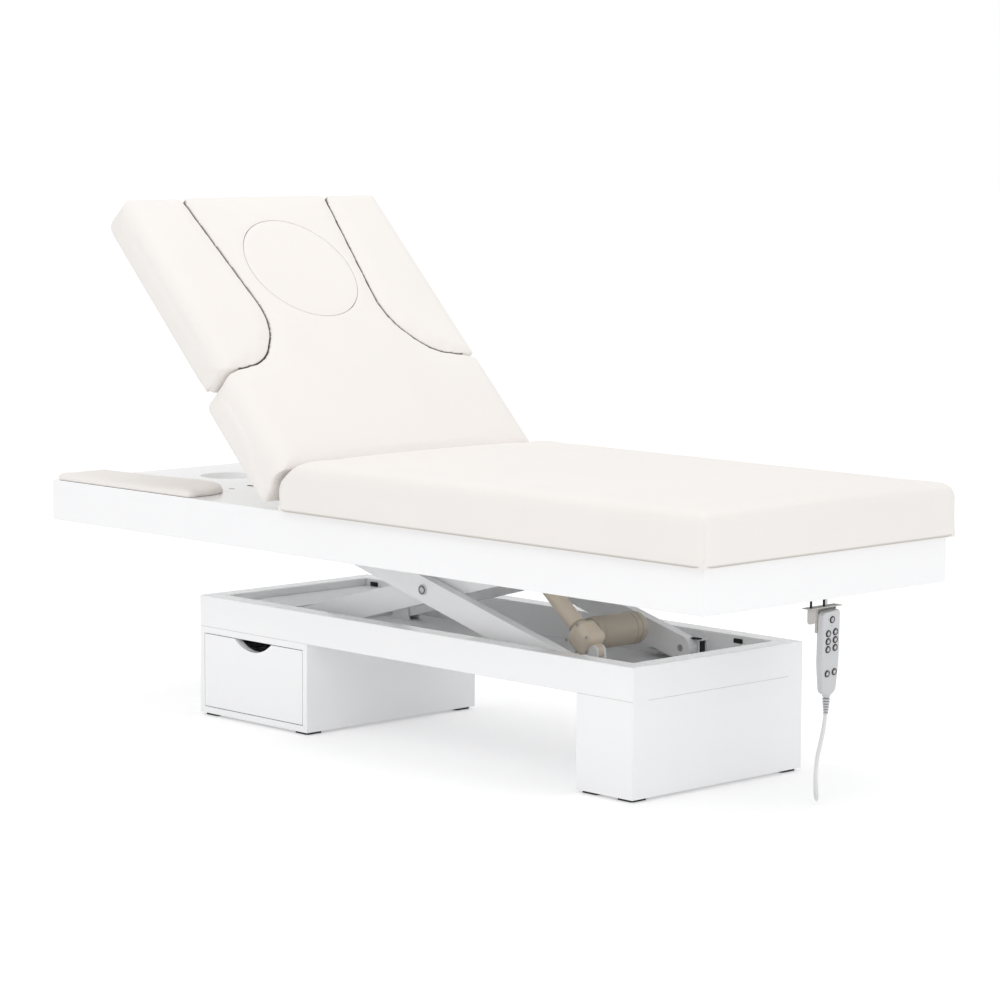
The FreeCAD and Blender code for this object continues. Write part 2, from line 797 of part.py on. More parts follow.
# Lever: two plates in slots of the board, reaching down through the deck
lever_plate = 6.0
lever_inner_y = 11.0
lever_pin_radius = 6.0
lever_tip_radius = 13.0
lever_foot_along = 90.0
lever_bend_along = 40.0
lever_tip_x = hinge_x + lever_radius * math.sin(lever_flat_angle)
lever_tip_z = hinge_height - lever_radius * math.cos(lever_flat_angle)
lever_tip = (lever_tip_x, lever_tip_z)
lever_bend = (along(lever_bend_along), board_top)
lever_corners = [
    (along(lever_foot_along), backrest_under),
    leaf_heel,
    tangent_point(lever_tip, lever_tip_radius, leaf_heel, 1),
    tangent_point(lever_tip, lever_tip_radius, lever_bend, -1),
    lever_bend,
    (along(lever_foot_along), board_top),
]
lever_low_y = -lever_inner_y - lever_plate
lever = plate_y(lever_corners, [0] * 6, lever_low_y, -lever_inner_y)
lever = lever.fuse(rod_y(lever_tip_radius, lever_tip_x, lever_tip_z, lever_low_y, -lever_inner_y)).removeSplitter()
lever_bore = rod_y(lever_pin_radius, lever_tip_x, lever_tip_z, lever_low_y - overrun, overrun - lever_inner_y)
lever_pin = rod_y(lever_pin_radius, lever_tip_x, lever_tip_z, lever_low_y, -lever_low_y)
keep("backrest_lever", *[to_rest(side) for side in pair(lever.cut(lever_bore))], to_rest(lever_pin))
lever_slot = block(
    along(lever_foot_along),
    hinge_x,
    lever_low_y,
    -lever_inner_y,
    backrest_under - overrun,
    board_top,
)
for side in pair(lever_slot):
    backrest_board = backrest_board.cut(side)
    backrest_cushion = backrest_cushion.cut(side)
keep("backrest_board", to_rest(backrest_board))
keep("backrest_cushion", to_rest(backrest_cushion))

# Wings: plate with two pegs, and a cushion shaped to the neck's edge
wing_inner_share = 0.35
wing_head_corner = 40.0
wing_foot_corner = 24.0
wing_inner_y = wing_inner_share * half_width
wing_block = cushion(
    (backrest_head_x, along(shoulder_along)),
    (-cushion_half, -wing_inner_y),
    (wing_under, cushion_top),
    backrest_head_radius,
    wing_foot_corner,
    backrest_side_radius,
    0,
)
wing_plan = plate_z(
    [
        (backrest_head_x, -cushion_half),
        (along(shoulder_along), -cushion_half),
        (along(shoulder_along), -wing_inner_y),
        (backrest_head_x, -wing_inner_y),
    ],
    [wing_head_corner, wing_foot_corner, 0, 0],
    wing_under - overrun,
    cushion_top + overrun,
)
grown_body = backrest_plan(backrest_under - overrun, cushion_top + overrun, wing_gap)
wing_cushion = wing_block.common(wing_plan).cut(grown_body)
wing_rim_body = backrest_plan(backrest_under - overrun, cushion_top + overrun, wing_gap + upholstery_wrap)
wing_plate = plate_z(
    rectangle(
        backrest_head_x + upholstery_wrap,
        along(shoulder_along) - upholstery_wrap,
        upholstery_wrap - cushion_half,
        -wing_inner_y,
    ),
    [wing_head_corner - upholstery_wrap, 0, 0, 0],
    wing_under,
    wing_plate_top,
)
wing_plate = wing_plate.cut(wing_rim_body)
wing_cushion = wing_cushion.cut(wing_plate)
for peg in pegs:
    wing_cushion = wing_cushion.cut(peg)
    wing_plate = wing_plate.cut(peg)
keep("wing_cushion_near", to_rest(wing_cushion))
keep("wing_cushion_far", to_rest(far_side(wing_cushion)))
keep("wing_plate_near", to_rest(wing_plate), *[to_rest(peg) for peg in pegs])
keep("wing_plate_far", to_rest(far_side(wing_plate)), *[to_rest(far_side(peg)) for peg in pegs])

# Arm pads on the deck under the wings
pad_margin = 6.0
pad_edge = 6.0
pad_inset = 1.0
pad_plan = plate_z(
    [
        (pad_margin - half_length, pad_inset - half_width),
        (along(shoulder_along), pad_inset - half_width),
        (along(shoulder_along), -wing_inner_y),
        (pad_margin - half_length, -wing_inner_y),
    ],
    [wing_head_corner, wing_head_corner, 0, 0],
    deck_height,
    deck_height + pad_thickness,
)
pad = pad_plan.cut(backrest_plan(deck_height - overrun, cushion_top, wing_gap + pad_margin))
pad_rims = [e for e in pad.Edges if min(v.Z for v in e.Vertexes) > deck_height + pad_thickness / 2]
pad = pad.makeFillet(pad_edge, pad_rims)
keep("arm_pads", *pair(pad))

# Drawer: inset front with a half-moon hand cut-out, and a box behind it
reveal = 1.75
front_thickness = 18.0
cutout_width = 132.0
cutout_depth = 25.0
runner_width = 12.0
runner_height = 35.0
runner_gap = 0.3
drawer_stock = 12.0
drawer_floor_stock = 6.0
drawer_lift = 12.0
drawer_side_height = 115.0
drawer_back_gap = 25.0
front_top = bay_top - reveal
front = plate_y(
    rectangle(drawer_bay_head + reveal, drawer_bay_foot - reveal, bay_bottom + reveal, front_top),
    [0] * 4,
    -half_base,
    front_thickness - half_base,
)
cutout_radius = ((cutout_width / 2) ** 2 + cutout_depth ** 2) / (2 * cutout_depth)
drawer_mid_x = (drawer_bay_head + drawer_bay_foot) / 2
cutout_z = front_top - cutout_depth + cutout_radius
front = front.cut(
    rod_y(cutout_radius, drawer_mid_x, cutout_z, -half_base - overrun, front_thickness - half_base + overrun)
)
keep("drawer_front", front)
box_head = drawer_bay_head + runner_width + runner_gap
box_foot = drawer_bay_foot - runner_width - runner_gap
box_front = front_thickness - half_base
box_back = bay_back_y - drawer_back_gap
box_bottom = bay_bottom + drawer_lift
box_top = box_bottom + drawer_side_height
for low, high in ((box_head, box_head + drawer_stock), (box_foot - drawer_stock, box_foot)):
    keep("drawer_box", block(low, high, box_front, box_back, box_bottom, box_top))
tray_head = box_head + drawer_stock
tray_foot = box_foot - drawer_stock
keep("drawer_box", block(tray_head, tray_foot, box_back - drawer_stock, box_back, box_bottom, box_top))
tray_floor_top = box_bottom + drawer_floor_stock
keep("drawer_box", block(tray_head, tray_foot, box_front, box_back - drawer_stock, box_bottom, tray_floor_top))
runner_mid_z = (box_bottom + box_top) / 2
for low, high in (
    (drawer_bay_head, drawer_bay_head + runner_width),
    (drawer_bay_foot - runner_width, drawer_bay_foot),
):
    keep(
        "drawer_runners",
        block(
            low,
            high,
            box_front + runner_gap,
            box_back,
            runner_mid_z - runner_height / 2,
            runner_mid_z + runner_height / 2,
        ),
    )


# Linear actuators: built along X from the tail pivot, then aimed at the far pin
def aim(shape, tail, tip):
    """Turns a piece built along X so that it points from tail to tip."""
    aimed = shape.copy()
    aimed.rotate(Vector(0, 0, 0), Vector(0, 1, 0), -math.degrees(math.atan2(tip[1] - tail[1], tip[0] - tail[0])))
    aimed.translate(Vector(tail[0], 0, tail[1]))
    return aimed


def slotted_eye(place, radius, wall, along_play, side_play, y_low, y_high):
    """Rod end with a slot across the rod, in which the far pin has play."""
    half_slot = radius + along_play
    reach = side_play + radius
    outer_low, outer_high = place - half_slot - wall, place + half_slot + wall
    outer = plate_y(
        rectangle(outer_low, outer_high, -reach - wall, reach + wall),
        [half_slot + wall] * 4,
        y_low,
        y_high,
    )
    slot = plate_y(
        rectangle(place - half_slot, place + half_slot, -reach, reach),
        [half_slot] * 4,
        y_low - overrun,
        y_high + overrun,
    )
    return outer, slot


# Lift actuator: foot bracket, gear housing, barrel motor, outer tube and rod
lift_y = -45.0
lift_tail_x = 450.0
lift_tail_rise = 42.0
lift_tail_z = floor_top + lift_tail_rise
lift_lug_along = 40.0
lift_lug_rise = 34.0
actuator_pin_radius = 7.0
actuator_eye_half = 8.0
actuator_eye_radius = 14.0
actuator_ear = 6.0
actuator_side_gap = 0.5
lift_housing_start = 16.0
lift_housing_end = 68.0
lift_housing_half = 31.0
lift_motor_radius = 36.0
lift_motor_end_y = 122.0
lift_motor_edge = 8.0
lift_tube_radius = 19.0
lift_eye_to_tube = 57.0
lift_rod_radius = 8.0
lift_rod_start = 72.0
actuator_rod_play = 0.4
lift_eye_wall = 6.0
lift_slot_along = 3.0
lift_slot_side = 9.5
lift_tail = (lift_tail_x, lift_tail_z)
lug_foot_x, lug_foot_z = on_inner_arm(inner_tube_place + lift_lug_along)
lift_tip = (
    lug_foot_x - lift_lug_rise * math.sin(rest_angle),
    lug_foot_z + lift_lug_rise * math.cos(rest_angle),
)
housing_corner_share = 0.25
motor_rim_share = 0.2
lift_length = math.hypot(lift_tip[0] - lift_tail[0], lift_tip[1] - lift_tail[1])
lift_tube_end = lift_length - lift_eye_to_tube


def actuator_body(y, start, end, half, motor_x, motor_radius, motor_end, tube_radius, tube_end, rod_radius):
    """Gear housing with its tail eye and barrel motor, and the outer tube."""
    tail = rod_y(actuator_eye_radius, 0, 0, y - actuator_eye_half, y + actuator_eye_half)
    neck = block(0, start, y - actuator_eye_half, y + actuator_eye_half, -actuator_eye_radius, actuator_eye_radius)
    housing = block(start, end, y - half, y + half, -half, half)
    corners = [e for e in housing.Edges if runs_along(e, Vector(1, 0, 0))]
    housing = housing.makeFillet(half * housing_corner_share, corners)
    motor = rod_y(motor_radius, motor_x, 0, y + half - overrun, motor_end)
    rims = [e for e in motor.Edges if isinstance(e.Curve, Part.Circle) and e.Curve.Center.y > y + half]
    motor = motor.makeFillet(motor_radius * motor_rim_share, rims)
    shell = tail.fuse(neck).fuse(housing).fuse(motor).removeSplitter()
    bore = rod_y(actuator_pin_radius + running_gap, 0, 0, y - actuator_eye_half - overrun, y + actuator_eye_half + overrun)
    shell = shell.cut(bore)
    tube = rod_x(tube_radius, y, 0, end, tube_end)
    tube = tube.cut(rod_x(rod_radius, y, 0, end - overrun, tube_end + overrun))
    return shell, tube


def actuator_rod(y, radius, start, length, wall, along_play, side_play, bore_radius):
    """Rod that slides in the tube, with its slotted eye."""
    outer, slot = slotted_eye(
        length, bore_radius, wall, along_play, side_play, y - actuator_eye_half, y + actuator_eye_half
    )
    rod = rod_x(radius, y, 0, start, length)
    return rod.fuse(outer).removeSplitter().cut(slot)


lift_motor_x = (lift_housing_start + lift_housing_end) / 2
lift_shell, lift_tube = actuator_body(
    lift_y,
    lift_housing_start,
    lift_housing_end,
    lift_housing_half,
    lift_motor_x + lift_motor_edge,
    lift_motor_radius,
    lift_motor_end_y,
    lift_tube_radius,
    lift_tube_end,
    lift_rod_radius + actuator_rod_play,
)
lift_rod = actuator_rod(
    lift_y,
    lift_rod_radius,
    lift_rod_start,
    lift_length,
    lift_eye_wall,
    lift_slot_along,
    lift_slot_side,
    actuator_pin_radius,
)
keep("lift_motor", aim(lift_shell, lift_tail, lift_tip))
keep("lift_tube", aim(lift_tube, lift_tail, lift_tip))
keep("lift_rod", aim(lift_rod, lift_tail, lift_tip))


def actuator_ears(y, place, seat_z):
    """Two ears that hold an actuator's tail pin, and the pin between them."""
    low = min(seat_z, place[1])
    high = max(seat_z, place[1])
    ears = []
    for y_low in (
        y - actuator_eye_half - actuator_side_gap - actuator_ear,
        y + actuator_eye_half + actuator_side_gap,
    ):
        web = block(
            place[0] - actuator_eye_radius,
            place[0] + actuator_eye_radius,
            y_low,
            y_low + actuator_ear,
            low,
            high,
        )
        ring = rod_y(actuator_eye_radius, place[0], place[1], y_low, y_low + actuator_ear)
        bore = rod_y(actuator_pin_radius, place[0], place[1], y_low - overrun, y_low + actuator_ear + overrun)
        ears.append(web.fuse(ring).removeSplitter().cut(bore))
    outer = actuator_eye_half + actuator_side_gap + actuator_ear
    ears.append(rod_y(actuator_pin_radius, place[0], place[1], y - outer, y + outer))
    return ears


keep("lift_actuator_bracket", *actuator_ears(lift_y, lift_tail, floor_top))

# Lugs on the inner arms' cross tube that hold the lift rod's pin
lug_reach = math.hypot(lift_lug_along, lift_lug_rise)
lug_angle = rest_angle + math.atan2(lift_lug_rise, lift_lug_along)
for lug_low in (
    lift_y - actuator_eye_half - actuator_side_gap - actuator_ear,
    lift_y + actuator_eye_half + actuator_side_gap,
):
    lug_high = lug_low + actuator_ear
    web = block(0, lug_reach, lug_low, lug_high, -actuator_eye_radius, actuator_eye_radius)
    web = web.fuse(rod_y(actuator_eye_radius, lug_reach, 0, lug_low, lug_high)).removeSplitter()
    web.rotate(Vector(0, 0, 0), Vector(0, 1, 0), -math.degrees(lug_angle))
    web.translate(Vector(lift_pin_x, 0, lift_pin_z))
    web = web.cut(rod_y(inner_tube_radius, lift_pin_x, lift_pin_z, lug_low - overrun, lug_high + overrun))
    web = web.cut(rod_y(actuator_pin_radius, *lift_tip, lug_low - overrun, lug_high + overrun))
    keep("inner_arms", web)
lug_outer = actuator_eye_half + actuator_side_gap + actuator_ear
keep("inner_arms", rod_y(actuator_pin_radius, *lift_tip, lift_y - lug_outer, lift_y + lug_outer))

# Backrest actuator under the deck
back_tail_x = 130.0
back_tail_drop = 32.0
back_tail_z = deck_underside - back_tail_drop
back_housing_start = 16.0
back_housing_end = 62.0
back_housing_half = 24.0
back_motor_radius = 25.0
back_motor_end_y = 112.0
back_tube_radius = 15.0
back_eye_to_tube = 108.0
back_rod_radius = 8.0
back_rod_start = 130.0
back_slot_along = 1.6
back_slot_side = 9.5
back_eye_wall = 5.0
back_tail = (back_tail_x, back_tail_z)
back_tip = tilted(lever_tip_x, lever_tip_z)
back_length = math.hypot(back_tip[0] - back_tail[0], back_tip[1] - back_tail[1])
back_tube_end = back_length - back_eye_to_tube
back_shell, back_tube = actuator_body(
    0,
    back_housing_start,
    back_housing_end,
    back_housing_half,
    (back_housing_start + back_housing_end) / 2,
    back_motor_radius,
    back_motor_end_y,
    back_tube_radius,
    back_tube_end,
    back_rod_radius + actuator_rod_play,
)
back_rod = actuator_rod(
    0,
    back_rod_radius,
    back_rod_start,
    back_length,
    back_eye_wall,
    back_slot_along,
    back_slot_side,
    lever_pin_radius,
)
keep("back_actuator", aim(back_shell, back_tail, back_tip), aim(back_tube, back_tail, back_tip))
keep("back_rod", aim(back_rod, back_tail, back_tip))
keep("back_actuator_bracket", *actuator_ears(0, back_tail, deck_underside))

# Handset, built plumb and then turned to the way it hangs from its clip
handset_drop = 25.0
handset_top = frame_bottom - handset_drop
handset_y = 15.0
handset_lean = 5.5
handset_pitch = 6.0
handset_thickness = 19.0
handset_setback = 3.0
handset_front_x = half_length - handset_setback
handset_back_x = handset_front_x - handset_thickness
handset_width = 53.0
handset_foot_width = 38.0
handset_height = 181.0
handset_taper_share = 0.62
handset_corner = 9.0
handset_foot_corner = 17.0
handset_edge = 4.0
relief_length = 43.0
relief_top_radius = 7.0
relief_foot_radius = 4.0


def lean(shape):
    """Turns a plumb piece of the handset to the way it hangs."""
    leaned = shape.copy()
    for axis, degrees in ((Vector(1, 0, 0), handset_lean), (Vector(0, 1, 0), handset_pitch)):
        leaned.rotate(Vector(handset_back_x, handset_y, handset_top), axis, degrees)
    return leaned


handset_foot = handset_top - handset_height
handset_waist = handset_top - handset_taper_share * handset_height
handset_mid_x = (handset_front_x + handset_back_x) / 2
shell_corners = [
    (handset_y - handset_width / 2, handset_top),
    (handset_y - handset_width / 2, handset_waist),
    (handset_y - handset_foot_width / 2, handset_foot),
    (handset_y + handset_foot_width / 2, handset_foot),
    (handset_y + handset_width / 2, handset_waist),
    (handset_y + handset_width / 2, handset_top),
]
waist_radius = handset_height / 2
shell_radii = [handset_corner, waist_radius, handset_foot_corner, handset_foot_corner, waist_radius, handset_corner]
shell = plate_x(shell_corners, shell_radii, handset_back_x, handset_front_x)
shell_rims = [e for e in shell.Edges if not runs_along(e, Vector(1, 0, 0))]
shell = shell.makeFillet(handset_edge, shell_rims)

# Nine round buttons in blind bores of the handset
button_radius = 7.2
button_gap = 0.25
button_depth = 7.0
button_stand = 1.6
button_travel = 1.0
button_column = 10.9
button_rows = [18.0, 46.0, 63.0, 80.0, 132.0]
button_places = [("button_1", 0.0, button_rows[0])]
for row_number in range(1, 5):
    for side_sign, count in ((-1, 0), (1, 1)):
        button_places.append((f"button_{2 * row_number + count}", side_sign * button_column, button_rows[row_number]))
for name, offset, drop in button_places:
    y = handset_y + offset
    z = handset_top - drop
    well = rod_x(button_radius + button_gap, y, z, handset_front_x - button_depth - button_travel, handset_front_x + overrun)
    shell = shell.cut(well)
    button = rod_x(button_radius, y, z, handset_front_x - button_depth, handset_front_x + button_stand)
    rim = [e for e in button.Edges if isinstance(e.Curve, Part.Circle) and e.Curve.Center.x > handset_front_x]
    keep(name, lean(button.makeFillet(button_travel, rim)))
keep("handset_shell", lean(shell))
relief = Part.makeCone(
    relief_top_radius,
    relief_foot_radius,
    relief_length,
    Vector(handset_mid_x, handset_y, handset_foot),
    Vector(0, 0, -1),
)
keep("handset_strain_relief", lean(relief))

# Handset hook: a plate on two pins under the foot board, with a clip behind the handset and a free tongue
clip_stock = 2.0
clip_length = 45.0
clip_cheek_reach = 6.0
clip_gap = 0.3
clip_plate_reach = 70.0
clip_hang = 16.0
clip_pin_radius = 2.5
clip_pin_offsets = (59.0, 19.0)
tongue_width = 24.0
tongue_length = 33.0
tongue_corner = 7.0
clip_top = frame_bottom - clip_hang
clip_back_x = handset_back_x - clip_gap - clip_stock
clip_low_y = handset_y - clip_plate_reach
clip_high_y = handset_y + handset_width / 2 + clip_gap + clip_stock
clip_front_x = half_length - board_edge
clip_plate = block(clip_back_x, clip_front_x, clip_low_y, clip_high_y, clip_top - clip_stock, clip_top)
cheek_low = handset_y - handset_width / 2 - clip_gap
cheek_high = handset_y + handset_width / 2 + clip_gap
clip_foot = handset_top - clip_length
clip = block(clip_back_x, clip_back_x + clip_stock, cheek_low - clip_stock, cheek_high + clip_stock, clip_foot, frame_bottom)
for low, high in ((cheek_low - clip_stock, cheek_low), (cheek_high, cheek_high + clip_stock)):
    clip = clip.fuse(block(clip_back_x, clip_back_x + clip_cheek_reach, low, high, clip_foot, frame_bottom))
above_plate = block(
    clip_back_x - clip_length,
    half_length + clip_length,
    clip_low_y - clip_length,
    clip_high_y + clip_length,
    clip_top - clip_stock,
    frame_bottom + clip_length,
)
pin_x = half_length - board_thickness / 2
tongue = plate_x(
    rectangle(clip_low_y, clip_low_y + tongue_width, clip_top - tongue_length, clip_top),
    [tongue_corner, tongue_corner, 0, 0],
    pin_x,
    pin_x + clip_stock,
)
keep("handset_hook", lean(clip).cut(above_plate).fuse([clip_plate, tongue]).removeSplitter())
for offset in clip_pin_offsets:
    keep("hook_screws", rod_z(clip_pin_radius, pin_x, handset_y - offset, clip_top, frame_bottom))

# Control box under the deck, which the handset's cable goes into
box_length = 150.0
box_width = 110.0
box_depth = 48.0
cable_radius = 3.0
cable_from_foot = 90.0
cable_x_at_box = half_length - cable_from_foot
cable_y_at_box = 95.0
gland_radius = 7.0
gland_length = 10.0
control_box = block(
    cable_x_at_box - box_length / 2,
    cable_x_at_box + box_length / 2 - board_thickness,
    cable_y_at_box - box_width / 2,
    cable_y_at_box + box_width / 2,
    deck_underside - box_depth,
    deck_underside,
)
control_box_corner = 4.0
box_edges = [e for e in control_box.Edges if runs_along(e, Vector(0, 0, 1))]
control_box = control_box.makeFillet(control_box_corner, box_edges)
gland_foot = deck_underside - box_depth - gland_length
gland = rod_z(gland_radius, cable_x_at_box, cable_y_at_box, gland_foot, deck_underside - box_depth)
keep("control_box", control_box.fuse(gland).removeSplitter())

# Handset cable: straight runs joined by tangent arcs
relief_tip = lean(Part.Vertex(handset_mid_x, handset_y, handset_foot - relief_length)).Point
relief_next = lean(Part.Vertex(handset_mid_x, handset_y, handset_foot - relief_length - clip_length)).Point
cable_start = relief_tip
cable_away = (relief_next - relief_tip).normalize()
first_run = 20.0
box_run = 38.0
floor_places = [
    (-35.2, 25.6, 131.6),
    (-31.0, 6.5, 95.9),
    (-20.2, -9.1, 59.0),
    (-20.5, -3.0, 22.0),
    (-41.5, 17.5, 5.5),
    (-67.5, 42.5, 14.0),
    (-79.5, 55.5, 48.0),
]
rise_places = [(-79.0, 60.0), (-75.0, 70.0), (-74.0, 81.0), (-79.0, 90.0), (-85.0, 94.0)]
rise_shares = [0.197, 0.285, 0.399, 0.566, 0.746]
cable_points = [cable_start, cable_start + cable_away * first_run]
for x, y, z in floor_places:
    cable_points.append(Vector(half_length + x, y, z))
for (x, y), share in zip(rise_places, rise_shares):
    cable_points.append(Vector(half_length + x, y, gland_foot * share))
cable_points.append(Vector(cable_x_at_box, cable_y_at_box, gland_foot - box_run))
cable_points.append(Vector(cable_x_at_box, cable_y_at_box, gland_foot))
arc_share = 0.45


def cable_tube(points, radius):
    """Tube along straight runs and tangent arcs, with its centreline's length and arc radii."""
    edges = []
    arc_radii = []
    last = points[0]
    for before, corner, after in zip(points, points[1:], points[2:]):
        back, ahead = before - corner, after - corner
        reach = arc_share * min(back.Length, ahead.Length)
        back.normalize()
        ahead.normalize()
        half_angle = back.getAngle(ahead) / 2
        bend = reach * math.tan(half_angle)
        towards = (back + ahead).normalize()
        middle = corner + towards * (bend / math.sin(half_angle) - bend)
        start, end = corner + back * reach, corner + ahead * reach
        edges.append(Part.LineSegment(last, start).toShape())
        edges.append(Part.Arc(start, middle, end).toShape())
        arc_radii.append(bend)
        last = end
    edges.append(Part.LineSegment(last, points[-1]).toShape())
    spine = Part.Wire(edges)
    section = Part.Wire(Part.Circle(points[0], points[1] - points[0], radius).toShape())
    return spine.makePipeShell([section], True, False), spine.Length, arc_radii


cable, cable_length, cable_bends = cable_tube(cable_points, cable_radius)
keep("handset_cable", cable)
print("cable length", round(cable_length, 1), "bend radii", [round(r, 1) for r in cable_bends])

os.makedirs("parts", exist_ok=True)
for name, solids in nodes.items():
    shape = solids[0] if len(solids) == 1 else Part.makeCompound(solids)
    shape.exportStep(f"parts/{name}.step")
print("cable", [[round(c, 2) for c in p] for p in cable_points])
print(len(nodes), "nodes")
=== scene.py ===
import json
import math

import bmesh
import bpy
from mathutils import Matrix, Vector
from mathutils.bvhtree import BVHTree


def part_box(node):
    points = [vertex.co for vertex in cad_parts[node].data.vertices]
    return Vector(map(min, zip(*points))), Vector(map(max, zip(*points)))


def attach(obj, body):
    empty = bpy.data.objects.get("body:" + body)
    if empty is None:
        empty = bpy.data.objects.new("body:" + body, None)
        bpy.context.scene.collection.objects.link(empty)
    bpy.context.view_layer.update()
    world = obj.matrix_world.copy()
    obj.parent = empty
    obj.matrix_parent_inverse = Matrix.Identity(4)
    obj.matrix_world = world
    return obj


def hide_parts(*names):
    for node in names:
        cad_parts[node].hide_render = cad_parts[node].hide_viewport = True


bl_info = {
    "name": "Spa bed with cabinet base",
    "version": (1, 0, 0),
    "blender": (4, 5, 0),
    "location": "View3D > Sidebar > Spa bed",
    "description": "Upholstery, finishes, small fittings, handset and cable of a spa bed",
    "category": "Object",
}

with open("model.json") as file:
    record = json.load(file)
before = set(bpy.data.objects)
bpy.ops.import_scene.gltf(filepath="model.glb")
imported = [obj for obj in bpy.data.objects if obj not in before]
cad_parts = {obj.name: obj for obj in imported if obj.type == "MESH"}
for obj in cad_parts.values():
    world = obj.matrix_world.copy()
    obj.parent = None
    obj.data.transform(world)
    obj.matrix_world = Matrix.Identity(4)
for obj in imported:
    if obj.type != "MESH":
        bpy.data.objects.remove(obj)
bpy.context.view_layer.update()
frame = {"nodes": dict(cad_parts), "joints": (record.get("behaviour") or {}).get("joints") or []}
NODES = frame["nodes"]


def low(node):
    """Lowest corner of a CAD node at rest."""
    return Vector(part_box(node)[0])


def high(node):
    """Highest corner of a CAD node at rest."""
    return Vector(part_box(node)[1])


DECK_TOP = high("deck").z
SEAT_LOW, SEAT_HIGH = low("seat_cushion"), high("seat_cushion")
JOINTS = {joint["name"]: joint for joint in frame["joints"]}
HINGE = Vector(JOINTS["backrest_tilt"]["pos_m"])
ACROSS, OUTWARDS, DOWN = Vector((0, 1, 0)), Vector((1, 0, 0)), Vector((0, 0, -1))
TILT = math.radians(45.5)
TILTED = Matrix.Translation(HINGE) @ Matrix.Rotation(TILT, 4, "Y") @ Matrix.Translation(-HINGE)


# Settings


def length(name, description, default):
    """A size that a user may change."""
    return bpy.props.FloatProperty(name=name, description=description, default=default, unit="LENGTH")


def tint(name, description, default):
    """A colour that a user may change."""
    return bpy.props.FloatVectorProperty(
        name=name, description=description, default=default, size=3, subtype="COLOR"
    )


class SpaBedSizes(bpy.types.PropertyGroup):
    """Sizes of the upholstery and small fittings."""

    edge_radius: length("Edge radius", "Rounding of the seat's top edges", 0.026)
    seat_head_radius: length("Seat head radius", "Rounding of the seat's head end", 0.092)
    backrest_side_radius: length("Backrest side radius", "Rounding of the backrest's outer top edges", 0.044)
    foot_flare: length("Foot flare", "Reach of the backrest's foot under the seat's round end", 0.012)
    plump: length("Plump", "Height of the backrest's filled cushions above their plain blocks", 0.003)
    seat_plump: length("Seat plump", "Height of the filled seat above its plain block", 0.009)
    shoulder_radius: length("Shoulder radius", "Bend of the wings' seam at the shoulders", 0.11)
    neck_radius: length("Neck radius", "Bend of the wings' seam at the neck", 0.15)
    seam_radius: length("Seam edge radius", "Rounding beside the wings' seams", 0.006)
    swell: length("Swell", "How far the padding swells out", 0.004)
    backrest_foot: length("Backrest foot", "X of the flat backrest's foot end", -0.2325)
    backrest_length: length("Backrest length", "Length of the backrest cushion", 0.836)
    plug_radius: length("Plug radius", "Radius of the round face plug", 0.1515)
    plug_place: length("Plug place", "Plug's centre, measured up the backrest", 0.587)
    button_radius: length("Button radius", "Radius of a handset button", 0.0072)
    cable_diameter: length("Cable diameter", "Diameter of the handset's cable", 0.006)


class SpaBedColours(bpy.types.PropertyGroup):
    """Colours of the finishes."""

    vinyl: tint("Vinyl", "Ivory leathercloth", (0.872, 0.837, 0.806))
    lacquer: tint("Lacquer", "Gloss white boards", (0.945, 0.948, 0.955))
    powder: tint("Powder coat", "White steelwork", (0.9, 0.903, 0.908))
    # Painted shade: this is the drive's beige darkened for the shade under the bed; the tube and gear housing
    # use it 1.62 times lighter.
    drive: tint("Drive", "Beige drive housing", (0.5, 0.44, 0.355))
    handset: tint("Handset", "Light grey handset", (0.6, 0.604, 0.614))
    rubber: tint("Rubber", "Black rubber and plastic", (0.012, 0.012, 0.013))


def sizes():
    """The bed's size settings."""
    return bpy.context.scene.spa_bed_sizes


def colours():
    """The bed's colour settings."""
    return bpy.context.scene.spa_bed_colours


# Finishes

LEATHER = "ivory leathercloth"
COAT = {"Coat Weight": 0.4, "Coat Roughness": 0.06}
